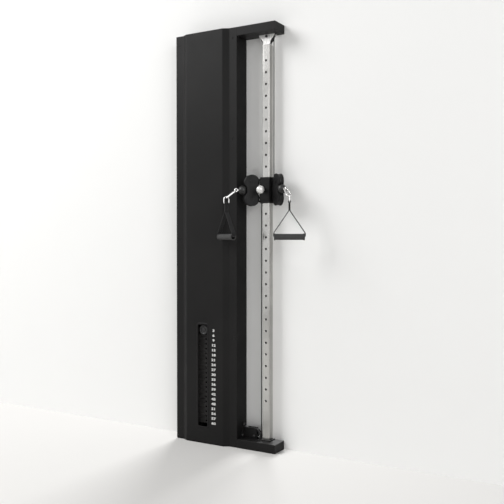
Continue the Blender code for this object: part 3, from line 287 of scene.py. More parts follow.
def paintedMetal(look, space):
    cloud, grain, peel = [noiseAt(space, look[kind + "Size"], 2.0) for kind in ("cloud", "grain", "peel")]
    fleck = between(grain, 0.0, look["fleck"], 0.5, 0.75)
    colour = mixColours(fleck, toned(look, cloud), look["fleckColour"])
    smear = noiseAt(space, look["cloudSize"] * 0.4, 4.0)
    bumps = [(peel, look["peelDepth"]), (grain, look["grainDepth"])]
    return worn(look, space, colour), between(smear, *look["roughness"]), bumps


powderLook = {
    "dark": (0.0085, 0.0083, 0.0083), "light": (0.0118, 0.0114, 0.0113), "specular": 0.12,
    "roughness": (0.40, 0.50), "cloudSize": 0.30, "grainSize": 0.0006, "grainDepth": 0.00003,
    "peelSize": 0.0035, "peelDepth": 0.00005, "fleck": 0.35, "fleckColour": (0.035, 0.035, 0.035),
    "wear": 0.55, "wearColour": (0.055, 0.053, 0.051),
}
# the housing's shell: a darker copy of the cover's powder coat, painted shade on the housing's sides
shellShadeLook = {
    **powderLook,
    "dark": (0.0050, 0.0049, 0.0050), "light": (0.0075, 0.0073, 0.0073), "roughness": (0.50, 0.60),
}
blackLook = {
    **powderLook,
    "dark": (0.0050, 0.0050, 0.0052), "light": (0.0085, 0.0083, 0.0083), "specular": 0.20,
    "roughness": (0.40, 0.54), "cloudSize": 0.05, "wear": 0.7,
}
ironLook = {
    **powderLook,
    "dark": (0.020, 0.019, 0.0185), "light": (0.032, 0.030, 0.029), "specular": 0.35,
    "roughness": (0.48, 0.66), "cloudSize": 0.03, "grainSize": 0.0016, "grainDepth": 0.00012,
    "peelSize": 0.006, "peelDepth": 0.00018, "wear": 0.9, "wearColour": (0.080, 0.076, 0.072),
}


def polishedMetal(look, space):
    film = noiseAt(space, look["filmSize"])
    lines = noiseAt(space, look["lineSize"], 2.0, look["lineStretch"])
    roughness = between(calculate("MULTIPLY", film, lines), *look["roughness"], 0.12, 0.42)
    return worn(look, space, toned(look, film)), roughness, [(lines, look["lineDepth"])]


chromeLook = {
    "metallic": 1.0, "dark": (0.70, 0.695, 0.69), "light": (0.80, 0.795, 0.785),
    "roughness": (0.07, 0.16), "filmSize": 0.045, "lineSize": 0.0012, "lineStretch": (1, 1, 0.03),
    "lineDepth": 0.000001, "wear": 0.3, "wearColour": (0.60, 0.60, 0.60),
}
tubeLook = {
    **chromeLook,
    "dark": (0.45, 0.445, 0.43), "light": (0.53, 0.525, 0.51), "roughness": (0.14, 0.24), "filmSize": 0.09,
}
satinLook = {
    **chromeLook,
    "metallic": 0.4, "dark": (0.76, 0.755, 0.74), "light": (0.84, 0.83, 0.815), "roughness": (0.24, 0.34),
}
steelLook = {
    **chromeLook,
    "dark": (0.36, 0.36, 0.365), "light": (0.48, 0.475, 0.47), "roughness": (0.26, 0.42),
    "filmSize": 0.008, "lineSize": 0.0007, "lineStretch": (1, 0.1, 1), "lineDepth": 0.00001,
}
darkSteelLook = {**steelLook, "dark": (0.055, 0.055, 0.058), "light": (0.085, 0.083, 0.082)}


def mouldedPlastic(look, space):
    flow = noiseAt(space, look["flowSize"])
    grain = noiseAt(space, look["grainSize"], 2.0)
    bumps = [(grain, look["grainDepth"]), (flow, look["grainDepth"] * 2)]
    return worn(look, space, toned(look, flow)), between(flow, *look["roughness"]), bumps


nylonLook = {
    "dark": (0.0080, 0.0080, 0.0085), "light": (0.0130, 0.0128, 0.0128), "specular": 0.45,
    "roughness": (0.34, 0.48), "flowSize": 0.012, "grainSize": 0.0008, "grainDepth": 0.00004,
    "wear": 0.5, "wearColour": (0.040, 0.040, 0.042),
}
paleNylonLook = {
    **nylonLook,
    "dark": (0.30, 0.30, 0.29), "light": (0.36, 0.355, 0.34), "wearColour": (0.42, 0.42, 0.40),
}
rubberLook = {
    **nylonLook,
    "dark": (0.0065, 0.0065, 0.0065), "light": (0.0105, 0.0103, 0.0102), "roughness": (0.36, 0.48),
    "grainSize": 0.0005, "grainDepth": 0.00006,
}
numberLook = {
    **nylonLook,
    "dark": (0.70, 0.70, 0.69), "light": (0.78, 0.78, 0.77), "specular": 0.3,
    "roughness": (0.42, 0.58), "wear": 0.0,
}


def gripRubber(look, space):
    # a fine diamond pattern round the grip, which lies along its own X
    parts = addNode(space.id_data, "SeparateXYZ", Vector=space).outputs
    around = calculate("MULTIPLY", calculate("ARCTAN2", parts[1], parts[2]), look["aroundCount"])
    along = waves(parts[0], 1 / look["alongPitch"])
    spirals = [calculate("SINE", calculate(way, around, along)) for way in ("ADD", "SUBTRACT")]
    patch = noiseAt(space, look["patchSize"])
    grain = noiseAt(space, look["grainSize"], 2.0)
    bumps = [(calculate("MULTIPLY", *spirals), look["depth"]), (grain, look["grainDepth"])]
    return toned(look, patch), between(patch, *look["roughness"]), bumps


gripLook = {
    "dark": (0.038, 0.038, 0.038), "light": (0.050, 0.050, 0.049), "specular": 0.35,
    "roughness": (0.58, 0.74), "aroundCount": 22, "alongPitch": 0.0045, "depth": 0.00012,
    "patchSize": 0.02, "grainSize": 0.0005, "grainDepth": 0.00004,
}


def woven(look, space):
    parts = laidOut(space)
    warp = calculate("SINE", waves(parts[0], 1 / look["cordPitch"]))
    along = waves(parts[1], 1 / look["pickPitch"])
    weft = calculate("SINE", calculate("ADD", along, calculate("MULTIPLY", warp, 1.4)))
    weave = calculate("ADD", calculate("MULTIPLY", warp, 0.6), calculate("MULTIPLY", weft, 0.5))
    fuzz = noiseAt(space, look["fuzzSize"])
    faded = toned(look, noiseAt(space, look["fadeSize"]))
    colour = mixColours(between(weave, 0.0, 0.5, -1.0, 1.0), faded, look["high"])
    return colour, between(fuzz, *look["roughness"]), [(weave, look["depth"]), (fuzz, look["fuzzDepth"])]


webbingLook = {
    "dark": (0.0070, 0.0070, 0.0075), "light": (0.0110, 0.0108, 0.0108), "high": (0.022, 0.022, 0.023),
    "specular": 0.25, "sheen": 0.15, "roughness": (0.72, 0.92), "cordPitch": 0.0018, "pickPitch": 0.0026,
    "depth": 0.00022, "fadeSize": 0.03, "fuzzSize": 0.0005, "fuzzDepth": 0.00006,
}


def cableJacket(look, space):
    # the strands under the jacket show as a shallow spiral
    parts = laidOut(space)
    around, along = waves(parts[0], look["strands"]), waves(parts[1], 1 / look["lay"])
    spiral = calculate("SINE", calculate("ADD", around, along))
    scuff = noiseAt(space, look["scuffSize"], 4.0)
    bumps = [(spiral, look["depth"]), (scuff, look["scuffDepth"])]
    return toned(look, scuff, 0.45, 0.75), between(scuff, *look["roughness"]), bumps


jacketLook = {
    "dark": (0.0045, 0.0045, 0.0048), "light": (0.012, 0.012, 0.012), "specular": 0.25,
    "roughness": (0.42, 0.58), "strands": 7, "lay": 0.012, "depth": 0.00008,
    "scuffSize": 0.004, "scuffDepth": 0.00002,
}

finishes = {
    # the material, and the slot of a piece that has it
    "powder": (makeFinish("powderCoat", paintedMetal, powderLook), "powder_coat"),
    "shell": (makeFinish("shellCoat", paintedMetal, shellShadeLook), "powder_coat"),
    "black": (makeFinish("blackCoat", paintedMetal, blackLook), "dark_coat"),
    "iron": (makeFinish("plateIron", paintedMetal, ironLook), "plate_paint"),
    "chrome": (makeFinish("chrome", polishedMetal, chromeLook), "chrome"),
    "tube": (makeFinish("tubeChrome", polishedMetal, tubeLook), "chrome"),
    "satin": (makeFinish("satinChrome", polishedMetal, satinLook), "chrome"),
    "steel": (makeFinish("machinedSteel", polishedMetal, steelLook), "steel"),
    "darkSteel": (makeFinish("blackenedSteel", polishedMetal, darkSteelLook), "steel"),
    "nylon": (makeFinish("blackNylon", mouldedPlastic, nylonLook), "black_nylon"),
    "paleNylon": (makeFinish("paleNylon", mouldedPlastic, paleNylonLook), "pale_nylon"),
    "rubber": (makeFinish("rubber", mouldedPlastic, rubberLook), "rubber"),
    "grip": (makeFinish("gripRubber", gripRubber, gripLook), "rubber"),
    "webbing": (makeFinish("webbing", woven, webbingLook), "webbing"),
    "jacket": (makeFinish("cableJacket", cableJacket, jacketLook), "cable_jacket"),
    "number": (makeFinish("numberPaint", mouldedPlastic, numberLook), None),
}
print("finishes ready:", len(finishes))


# Making shapes

def outward(shape):
    bmesh.ops.recalc_face_normals(shape, faces=shape.faces)
    if shape.calc_volume(signed=True) < 0:
        bmesh.ops.reverse_faces(shape, faces=shape.faces)
    return shape


def prism(outline, axis, low, high):
    # an outline in the two other axes, in X, Y, Z order, extruded along the axis
    order = {"X": (2, 0, 1), "Y": (0, 2, 1), "Z": (0, 1, 2)}[axis]
    shape = bmesh.new()
    face = shape.faces.new([shape.verts.new([(*pair, low)[index] for index in order]) for pair in outline])
    raised = bmesh.ops.extrude_face_region(shape, geom=[face])
    shift = Vector([(0, 0, high - low)[index] for index in order])
    moved = [item for item in raised["geom"] if isinstance(item, bmesh.types.BMVert)]
    bmesh.ops.translate(shape, verts=moved, vec=shift)
    return outward(shape)


def block(xRange, yRange, zRange):
    (left, right), (front, back) = xRange, yRange
    return prism([(left, front), (right, front), (right, back), (left, back)], "Z", *zRange)


def turned(profile, axis="Z", centre=(0, 0, 0), steps=48, ring=False):
    # (radius, along) pairs turned about the axis; a ring's profile closes on itself
    shape = bmesh.new()
    points = [shape.verts.new((radius, 0, along)) for radius, along in profile]
    pairs = list(zip(points, points[1:])) + ([(points[-1], points[0])] if ring else [])
    edges = [shape.edges.new(pair) for pair in pairs]
    bmesh.ops.spin(shape, geom=points + edges, cent=(0, 0, 0), axis=(0, 0, 1), angle=math.tau, steps=steps)
    bmesh.ops.remove_doubles(shape, verts=shape.verts, dist=0.000005)
    aim = {"X": Matrix.Rotation(math.pi / 2, 4, "Y"), "Y": Matrix.Rotation(-math.pi / 2, 4, "X")}
    shape.transform(Matrix.Translation(centre) @ aim.get(axis, Matrix.Identity(4)))
    return outward(shape)


def bothWays(half):
    # half a profile, and the same again beyond its middle
    return half + [(radius, -along) for radius, along in reversed(half)]


def peg(radius, low, high, axis="Y", centre=(0, 0, 0), steps=24):
    # a plain round bar, or the drill for a hole
    return turned([(0, low), (radius, low), (radius, high), (0, high)], axis, centre, steps)


def arc(centre, radius, start, end, steps):
    turns = [math.radians(start + (end - start) * step / steps) for step in range(steps + 1)]
    return [(centre[0] + radius * math.cos(turn), centre[1] + radius * math.sin(turn)) for turn in turns]


def hexagon(radius, start):
    return arc((0, 0), radius, start, start + 300, 5)


def eased(outline, radius, steps=4, closed=True):
    # the outline with each corner rounded, by less where its sides are short
    count = len(outline)
    points = []
    for index, spot in enumerate(outline):
        here = Vector(spot)
        before = Vector(outline[index - 1])
        after = Vector(outline[(index + 1) % count])
        if not closed and index in (0, count - 1):
            points.append(tuple(here))
            continue
        reach = min(radius, (before - here).length * 0.45, (after - here).length * 0.45)
        first = here + (before - here).normalized() * reach
        last = here + (after - here).normalized() * reach
        for step in range(steps + 1):
            share = step / steps
            points.append(tuple(first.lerp(here, share).lerp(here.lerp(last, share), share)))
    return points


def mirrored(half, left, right):
    # (reach, y) points in from the left edge, then the same in from the right edge, backwards
    return [(left + reach, y) for reach, y in half] + [(right - reach, y) for reach, y in reversed(half)]


def foldedSheet(lines, radii, steps, low, high):
    outer, inner = [eased(line, radius, steps, closed=False) for line, radius in zip(lines, radii)]
    return prism(outer + inner[::-1], "Z", low.z, high.z)


def roundedRectangle(low, high, radius, steps=6):
    (left, bottom), (right, top) = low, high
    points = []
    for x, y, start in ((right, top, 0), (left, top, 90), (left, bottom, 180), (right, bottom, 270)):
        centre = (x + (-radius if x == right else radius), y + (-radius if y == top else radius))
        points += arc(centre, radius, start, start + 90, steps)
    return points


def rounded(shape, width, segments=2, sharpest=30):
    # bevels every sharp edge, and marks the new faces so that the finish can wear them
    mark = shape.faces.layers.float.get("edge") or shape.faces.layers.float.new("edge")
    limit = math.radians(sharpest)
    edges = [edge for edge in shape.edges if edge.is_manifold and edge.calc_face_angle(0) > limit]
    made = bmesh.ops.bevel(
        shape, geom=edges, offset=width, segments=segments, profile=0.5, affect="EDGES", clamp_overlap=True
    )
    for face in made["faces"]:
        face[mark] = 1.0
    return shape


def toMesh(shape, name="shape"):
    mesh = bpy.data.meshes.new(name)
    shape.to_mesh(mesh)
    shape.free()
    return mesh


def together(*shapes):
    first = shapes[0]
    for other in shapes[1:]:
        mesh = toMesh(other)
        first.from_mesh(mesh)
        bpy.data.meshes.remove(mesh)
    return first


def cutFrom(shape, *cutters):
    target, cutter = [show("workpiece", toMesh(solid)) for solid in (shape, together(*cutters))]
    boolean = target.modifiers.new("cut", "BOOLEAN")
    boolean.operation = "DIFFERENCE"
    boolean.solver = "EXACT"
    boolean.object = cutter
    bpy.context.view_layer.update()
    evaluated = target.evaluated_get(bpy.context.evaluated_depsgraph_get())
    result = bmesh.new()
    result.from_mesh(evaluated.to_mesh())
    evaluated.to_mesh_clear()
    for mesh in (target.data, cutter.data):  # their objects go with them
        bpy.data.meshes.remove(mesh)
    return result


def skin(shape, rows, around=None, heights=None):
    # quads from each row of corners to the next, and UV where the rows' own places are given
    layout = shape.loops.layers.uv.new("layout") if around else None
    size = len(rows[0])
    for index, (first, second) in enumerate(zip(rows, rows[1:])):
        for step in range(size):
            following = (step + 1) % size
            face = shape.faces.new((first[step], first[following], second[following], second[step]))
            if around:
                (start, end), (low, high) = around[step:step + 2], heights[index:index + 2]
                for loop, spot in zip(face.loops, ((start, low), (end, low), (end, high), (start, high))):
                    loop[layout].uv = spot


def tubeAlong(path, radius, sides=16, closed=False):
    # a round tube with filled ends
    points = [Vector(spot) for spot in path]
    count = len(points)
    turns = [math.tau * step / sides for step in range(sides)]
    shape = bmesh.new()
    side = None
    rings = []
    lengths = [0.0]
    for index, spot in enumerate(points):
        before = points[index - 1] if index or closed else spot
        after = points[(index + 1) % count] if index < count - 1 or closed else spot
        along = (after - before).normalized()
        if side is None:
            side = along.orthogonal().normalized()
        side = (side - along * side.dot(along)).normalized()
        other = along.cross(side)
        ring = [spot + (side * math.cos(turn) + other * math.sin(turn)) * radius for turn in turns]
        rings.append([shape.verts.new(corner) for corner in ring])
        lengths.append(lengths[-1] + (after - spot).length)
    skin(shape, rings + rings[:1] if closed else rings, [step / sides for step in range(sides + 1)], lengths)
    if not closed:
        shape.faces.new(rings[0])
        shape.faces.new(rings[-1])
    return outward(shape)


def refined(node, width, segments=2):
    # the node's own form with its edges eased
    shape = bmesh.new()
    shape.from_mesh(frame["nodes"][node].data)
    bmesh.ops.remove_doubles(shape, verts=shape.verts, dist=0.00001)
    bmesh.ops.dissolve_limit(shape, angle_limit=math.radians(0.5), verts=shape.verts, edges=shape.edges)
    return rounded(outward(shape), width, segments)


def addPiece(node, shape, finish, body="frame", slot=None, at=None, smooth=35):
    # a piece takes its name from its node, and stands in for it where the frame has that node
    first, *others = node.split("_")
    name = first + "".join(word.title() for word in others)
    material, usualSlot = finishes[finish]
    mesh = toMesh(shape, name)
    mesh.materials.append(material)
    mesh.shade_smooth()
    mesh.set_sharp_from_angle(angle=math.radians(smooth))
    piece = show(name, mesh)
    if at:
        piece.matrix_world = at
    if isinstance(body, str):
        piece.modifiers.new("evenShading", "WEIGHTED_NORMAL").keep_sharp = True
        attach(piece, body)
    else:
        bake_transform(piece)
    if node in frame["nodes"]:
        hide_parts(node)
    slot = slot or usualSlot
    return piece


# Housing: the raised cover, the folded shell, their screws and the numbers beside the slot

cover = {
    "sheet": 0.002,
    "foldRadius": 0.006,
    "flange": 0.0475,
    "slope": 0.027,
    "rise": 0.016,
    "slotWidth": 0.058,
    "slotCorner": 0.008,
    "slotLow": 0.0905,
    "slotHigh": 0.62865,
    "rimWidth": 0.010,
    "rimHeight": 0.0015,
    "screwInset": 0.0213,
    "screwEnd": 0.054,
    "screwCount": 5,
    "screwHole": 0.0058,
    "screwHead": 0.0049,
    "edge": 0.0004,
}
coverLow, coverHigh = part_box("front_cover")
shellLow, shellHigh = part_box("housing_shell")
stackMiddle = middleOf("weight_plates")
faceY = coverLow.y + cover["rimHeight"]
flangeY = faceY + cover["rise"]


def screwSpots():
    end, count = cover["screwEnd"], cover["screwCount"]
    pitch = (coverHigh.z - 2 * end) / (count - 1)
    columns = (coverLow.x + cover["screwInset"], coverHigh.x - cover["screwInset"])
    return [(x, end + pitch * index) for x in columns for index in range(count)]


def buildCover():
    root, top = cover["flange"], cover["flange"] + cover["slope"]
    lines = []
    for shift in (0, cover["sheet"]):
        half = [(0, flangeY + shift), (root, flangeY + shift), (top, faceY + shift)]
        lines.append(mirrored(half, coverLow.x, coverHigh.x))
    panel = foldedSheet(lines, (cover["foldRadius"], cover["foldRadius"]), 6, coverLow, coverHigh)
    half = cover["slotWidth"] / 2
    low = (stackMiddle.x - half, cover["slotLow"])
    high = (stackMiddle.x + half, cover["slotHigh"])
    opening = prism(roundedRectangle(low, high, cover["slotCorner"], 10), "Y", faceY - 0.01, faceY + 0.01)
    hole = (cover["screwHole"], flangeY - 0.01, flangeY + 0.01, "Y")
    panel = cutFrom(panel, opening, *[peg(*hole, (x, 0, z), 20) for x, z in screwSpots()])
    addPiece("front_cover", rounded(panel, cover["edge"], 1, 60), "powder")
    buildRim(low, high)


def buildRim(low, high):
    # a pressed bead round the slot, soft on both sides, that turns in over the sheet's edge
    wide, tall = cover["rimWidth"], cover["rimHeight"]
    section = [(0.0004, cover["sheet"] * 0.9), (0.0001, 0.0), (0.0006, -tall * 0.75), (0.0016, -tall)]
    section += [(wide * 0.55, -tall), (wide * 0.78, -tall * 0.82), (wide * 0.94, -tall * 0.25), (wide, 0.0004)]
    shape = bmesh.new()
    rows = []
    for out, lift in section:
        corner = cover["slotCorner"] + out
        spots = roundedRectangle((low[0] - out, low[1] - out), (high[0] + out, high[1] + out), corner, 10)
        rows.append([shape.verts.new((x, faceY + lift, z)) for x, z in spots])
    skin(shape, rows + rows[:1])
    addPiece("slot_rim", outward(shape), "powder", smooth=60)


def buildScrews():
    # button heads, sunk in the cover's holes onto the shell's lip
    radius = cover["screwHead"]
    head = [(0, 0.0014), (0.0020, 0.0014), (0.0022, 0.0004), (radius * 0.84, 0.0003), (radius * 0.97, 0.0008)]
    head += [(radius, 0.0012), (radius, 0.0022), (0.0024, 0.0022), (0.0024, 0.006), (0, 0.006)]
    heads = [turned(head, "Y", (x, flangeY, z), 28) for x, z in screwSpots()]
    addPiece("cover_screws", together(*heads), "black", slot="steel")


shell = {"sheet": 0.0025, "lip": 0.030, "corner": 0.0035, "window": 0.010, "windowCorner": 0.004}


def buildShell():
    sheet, corner = shell["sheet"], shell["corner"]
    lines = []
    for inset in (0, sheet):
        front, back = shellLow.y + inset, shellHigh.y - inset
        lines.append(mirrored([(shell["lip"], front), (inset, front), (inset, back)], shellLow.x, shellHigh.x))
    folded = foldedSheet(lines, (corner, corner - sheet * 0.6), 4, shellLow, shellHigh)
    half, pitch = shell["window"], cable["pulleyPitch"]
    windows = []
    for level in (middleOf("column_top_pulley").z + pitch, middleOf("lower_pulley").z - pitch):
        outline = roundedRectangle((-half, level - half), (half, level + half), shell["windowCorner"], 5)
        windows.append(prism(outline, "X", shellHigh.x - 0.02, shellHigh.x + 0.02))
    # the shell takes the darker copy of the powder coat: painted shade
    addPiece("housing_shell", rounded(cutFrom(folded, *windows), cover["edge"], 1, 60), "shell")
    addPiece("top_panel", refined("top_panel", 0.0005), "powder")
    addPiece("base_plate", refined("base_plate", 0.0004, 1), "black")


numbers = {
    "step": 3,
    "count": 20,
    "height": 0.0122,
    "stretch": 1.5,
    "x": -0.2775,
    "thickness": 0.0002,
    "weight": 0.0007,
}
stack = {"base": 0.0995, "pitch": 0.0257, "groove": 0.0012, "pinHole": 0.005}
cable = {"radius": 0.0025, "pulleyPitch": 0.036, "headPitch": 0.0345, "mouth": 0.0023}


def plateLevel(index):
    return stack["base"] + stack["pitch"] * (index + 0.5)


def buildNumbers():
    shapes = []
    for index in range(numbers["count"]):
        text = bpy.data.curves.new("number", "FONT")
        text.body = str(numbers["step"] * (index + 1))
        text.align_x = text.align_y = "CENTER"
        text.size = numbers["height"] / 0.7
        text.extrude = numbers["thickness"]
        text.offset = numbers["weight"]
        text.resolution_u = 4
        label = show("number", text)
        label.rotation_euler.x = math.pi / 2
        label.scale.x = numbers["stretch"]
        level = plateLevel(numbers["count"] - 1 - index)
        label.location = (numbers["x"], faceY - numbers["thickness"], level)
        bpy.context.view_layer.update()
        solid = label.evaluated_get(bpy.context.evaluated_depsgraph_get())
        shape = bmesh.new()
        shape.from_mesh(bpy.data.meshes.new_from_object(solid))
        shape.transform(label.matrix_world)
        bmesh.ops.remove_doubles(shape, verts=shape.verts, dist=0.00001)
        shapes.append(shape)
        bpy.data.objects.remove(label)
    addPiece("weight_numbers", together(*shapes), "number")


buildCover()
buildScrews()
buildShell()
buildNumbers()
print("housing ready")


# Weight stack behind the slot

plate = {
    "roundness": 0.0012,
    "pinHoleRim": 0.0064,
    "rodHole": 0.0088,
    "stemHole": 0.0105,
    "rodSpacing": 0.130,
    "footSpacing": 0.082,
    "footHalf": 0.018,
    "footInset": 0.0025,
    "footTall": 0.002,
}


def buildPlates():
    low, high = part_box("top_plate")
    hole, rim = stack["pinHole"], plate["pinHoleRim"]
    drill = [(0, low.y - 0.01), (rim, low.y - 0.01), (rim, low.y)]
    drill += [(hole, low.y + rim - hole), (hole, -0.005), (0, -0.005)]
    plates, drills, bores, feet = [], [], [], []
    for index in range(numbers["count"]):
        foot = stack["base"] + stack["pitch"] * index
        body = block((low.x, high.x), (low.y, high.y), (foot + stack["groove"], foot + stack["pitch"]))
        plates.append(rounded(body, plate["roundness"], 3))
        drills.append(turned(drill, "Y", (stackMiddle.x, 0, plateLevel(index)), 32))
        if index == numbers["count"] - 1:
            continue
        front, back = low.y + plate["footInset"], high.y - plate["footInset"]
        for side in (-1, 1):
            middle = stackMiddle.x + side * plate["footSpacing"]
            across = (middle - plate["footHalf"], middle + plate["footHalf"])
            feet.append(block(across, (front, back), (foot, foot + plate["footTall"])))
    for shift, radius in ((0, plate["stemHole"]), (-1, plate["rodHole"]), (1, plate["rodHole"])):
        place = (stackMiddle.x + shift * plate["rodSpacing"] / 2, 0, 0)
        bores.append(peg(radius, low.z - 0.6, high.z + 0.02, "Z", place, 32))
    lower = cutFrom(cutFrom(together(*plates[:-1]), *drills[:-1]), *[bore.copy() for bore in bores])
    upper = cutFrom(cutFrom(plates[-1], drills[-1]), *bores)
    addPiece("weight_plates", together(lower, *feet), "iron")
    addPiece("top_plate", upper, "iron", "lifted_stack")


knob = {"radius": 0.0265, "depth": 0.021, "ring": 0.0052, "boss": 0.0105, "web": 0.006, "shank": 0.0042}


def buildSelector():
    low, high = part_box("selector_pin")
    centre = middleOf("selector_pin")
    front, back = low.y, low.y + knob["depth"]
    radius, ring, boss, shank = knob["radius"], knob["ring"], knob["boss"], knob["shank"]
    web = front + knob["web"]
    profile = [(0, front + 0.0026), (boss * 0.55, front + 0.0028), (boss * 0.85, front + 0.0036)]
    profile += [(boss, front + 0.0058), (boss + 0.0012, web)]
    profile += [(radius - 2 * ring - 0.001, web), (radius - 2 * ring, front + 0.0052)]
    profile += arc((radius - ring, front + ring), ring, 180, 360, 14)[2:]
    profile += [(radius, back - 0.005), (radius - 0.0012, back - 0.0026), (radius - 0.005, back - 0.0004)]
    profile += [(radius - 0.009, back), (shank + 0.002, back), (shank, back + 0.0012)]
    profile += [(shank, high.y - 0.001), (shank - 0.0008, high.y), (0, high.y)]
    shape = turned(profile, "Y", (centre.x, 0, centre.z), 72)
    addPiece("selector_pin", shape, "nylon", "selector_pin", "knob", smooth=40)


bumper = {"bore": 0.0083, "waist": 0.9}


def buildGuides():
    for side in ("left", "right"):
        node = side + "_guide_rod"
        low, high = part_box(node)
        middle = (low + high) / 2
        place = (middle.x, middle.y, 0)
        radius = (high.x - low.x) / 2
        profile = [(0, low.z), (radius - 0.0008, low.z), (radius, low.z + 0.0008), (radius, high.z - 0.0015)]
        profile += [(radius - 0.0015, high.z), (0, high.z)]
        addPiece(node, turned(profile, "Z", place, 40), "chrome")
        node = side + "_rod_bumper"
        low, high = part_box(node)
        outer = (high.x - low.x) / 2
        inner, waist = bumper["bore"], outer * bumper["waist"]
        profile = [(inner, low.z), (outer - 0.001, low.z), (outer, low.z + 0.001)]
        for radius, share in ((outer, 0.30), (waist, 0.36), (waist, 0.62), (outer, 0.68)):
            profile.append((radius, low.z + (high.z - low.z) * share))
        profile += [(outer, high.z - 0.001), (outer - 0.001, high.z), (inner, high.z)]
        addPiece(node, turned(profile, "Z", place, 40, ring=True), "rubber")
    addPiece("selector_stem", refined("selector_stem", 0.0003, 1), "steel", "lifted_stack")
    addPiece("pulley_carrier", refined("pulley_carrier", 0.0005), "black")


buildPlates()
buildSelector()
buildGuides()
print("stack ready")


# Pulleys. All turn about Y in their own brackets.

pulley = {
    "bore": 0.0043,
    "hub": 0.009,
    "web": 0.0032,
    "rimRound": 0.0010,
    "rimBand": 0.0045,
    "grooveDepth": 0.0061,
    "grooveRoom": 0.0009,
    "pocketCount": 8,
    "pocketInner": 0.0125,
    "pocketRim": 0.0135,
}


def pulleyShape(rim, halfWidth, halfHub):
    # a grooved rim and a hub, joined by a thinner web
    groove = cable["radius"] + pulley["grooveRoom"]
    floor = rim - pulley["grooveDepth"]
    inner = floor - pulley["rimBand"]
    bore, hub, web, edge = pulley["bore"], pulley["hub"], pulley["web"], pulley["rimRound"]
    side = [(bore, halfHub), (hub - 0.0006, halfHub), (hub, halfHub - 0.0006), (hub + 0.0006, web + 0.0006)]
    side += [(hub + 0.0016, web), (inner - 0.0012, web), (inner, web + 0.0010)]
    side += [(inner + 0.0006, halfWidth - 0.0008), (inner + 0.0014, halfWidth), (rim - edge, halfWidth)]
    side += [(rim, halfWidth - edge), (rim, groove + 0.0012), (rim - 0.0006, groove + 0.0004)]
    for turn in (0.35, 0.7, 1.05, 1.4):
        side.append((floor + groove * (1 - math.sin(turn)), groove * math.cos(turn)))
    return turned(bothWays(side), "Y", steps=64, ring=True)


def withPockets(shape, inner, outer):
    pitch = 360 / pulley["pocketCount"]
    cutters = []
    for index in range(pulley["pocketCount"]):
        start, end = pitch * (index - 0.32), pitch * (index + 0.32)
        outline = arc((0, 0), outer, start, end, 6) + arc((0, 0), inner, end, start, 4)
        cutters.append(prism(eased(outline, 0.0012, 2), "Y", -pulley["web"] - 0.0002, pulley["web"] + 0.0002))
    return cutFrom(shape, *cutters)


def buildPulley(node, halfWidth=0.007, halfHub=None, at=None):
    low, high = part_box(node)
    rim = (high.z - low.z) / 2
    shape = pulleyShape(rim, halfWidth, halfHub or (high.y - low.y) / 2)
    shape = withPockets(shape, pulley["pocketInner"], rim - pulley["pocketRim"])
    addPiece(node, shape, "nylon", node, at=at or Matrix.Translation(middleOf(node)))


for name in ("column_top", "lower", "stack_line", "return", "base", "stack"):
    buildPulley(name + "_pulley")
print("pulleys ready")


# Column with its yoke, arms and lower bracket

column = {
    "corner": 0.0032,
    "wall": 0.003,
    "boreCorner": 0.0008,
    "holeCount": 30,
    "holePitch": 0.060,
    "holeRadius": 0.0055,
    "holeRim": 0.0009,
    "firstHole": 1.990,
}
yoke = {"flare": 0.045, "sheet": 0.003, "inner": 0.0095, "base": 0.004, "plug": 0.0165, "plugDepth": 0.0117}
bolt = {"shank": 0.004, "hole": 0.0043, "head": 0.0072, "socket": 0.0030, "washer": 0.0092, "axleHead": 0.005}
columnLow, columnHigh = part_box("column")


def buildColumn():
    wall, corner = column["wall"], column["corner"]
    low, high = columnLow, columnHigh
    outer = roundedRectangle((low.x, low.y), (high.x, high.y), corner, 5)
    inside = ((low.x + wall, low.y + wall), (high.x - wall, high.y - wall))
    bore = roundedRectangle(*inside, column["boreCorner"], 5)
    tube = cutFrom(prism(outer, "Z", low.z, high.z), prism(bore, "Z", low.z - 0.01, high.z + 0.01))
    radius = column["holeRadius"]
    rim = radius + column["holeRim"]
    drill = [(0, low.y - 0.01), (rim, low.y - 0.01), (rim, low.y), (radius, low.y + column["holeRim"])]
    drill += [(radius, low.y + 0.006), (0, low.y + 0.006)]
    levels = [column["firstHole"] - column["holePitch"] * index for index in range(column["holeCount"])]
    tube = cutFrom(tube, *[turned(drill, "Y", (0, 0, level), 32) for level in levels])
    piece = addPiece("column", tube, "tube", smooth=30)
    # the bore, the hole walls and their countersinks take the dark steel finish: partly the bare metal inside,
    # partly painted shade that makes the holes read as larger dark dots
    piece.data.materials.append(finishes["darkSteel"][0])
    centre = (low + high) / 2
    half = (high.x - low.x) / 2 - 0.0001
    for face in piece.data.polygons:
        middle = face.center - centre
        reach = max(abs(middle.x), abs(middle.y))
        cornered = reach > half - corner and min(abs(face.normal.x), abs(face.normal.y)) > 0.1
        if reach < half and not cornered:
            face.material_index = 1


def sheetPair(inner, thick):
    # the ranges of Y that two sheets with a space between them take up
    return [(-inner - thick, -inner), (inner, inner + thick)]


def yokeOutline(seat, top):
    # a neck as wide as the column that sweeps out to two horns
    half = columnHigh.x
    right = [(half, seat)]
    for step in range(1, 13):
        share = step / 12
        out = half + (yoke["flare"] - half) * (3 * share**2 - 2 * share**3) ** 1.15
        right.append((out, seat + (top - seat) * (0.16 + 0.84 * share)))
    return right + [(-out, level) for out, level in reversed(right)]


def buildYoke():
    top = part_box("column_yoke")[1].z
    seat = columnHigh.z + slack
    outline = yokeOutline(seat + yoke["base"] * 0.5, top)
    half, plug = columnHigh.x, yoke["plug"]
    shapes = [rounded(block((-half, half), (-half, half), (seat, seat + yoke["base"])), 0.0012, 3)]
    for sheet in sheetPair(yoke["inner"], yoke["sheet"]):
        drill = peg(bolt["hole"], -0.03, 0.03, "Y", middleOf("column_top_pulley"))
        shapes.append(rounded(cutFrom(prism(outline, "Y", *sheet), drill), 0.0006, 2, 50))
    shapes.append(block((-plug, plug), (-plug, plug), (seat - yoke["plugDepth"], seat + 0.001)))
    addPiece("column_yoke", together(*shapes), "satin", smooth=40)


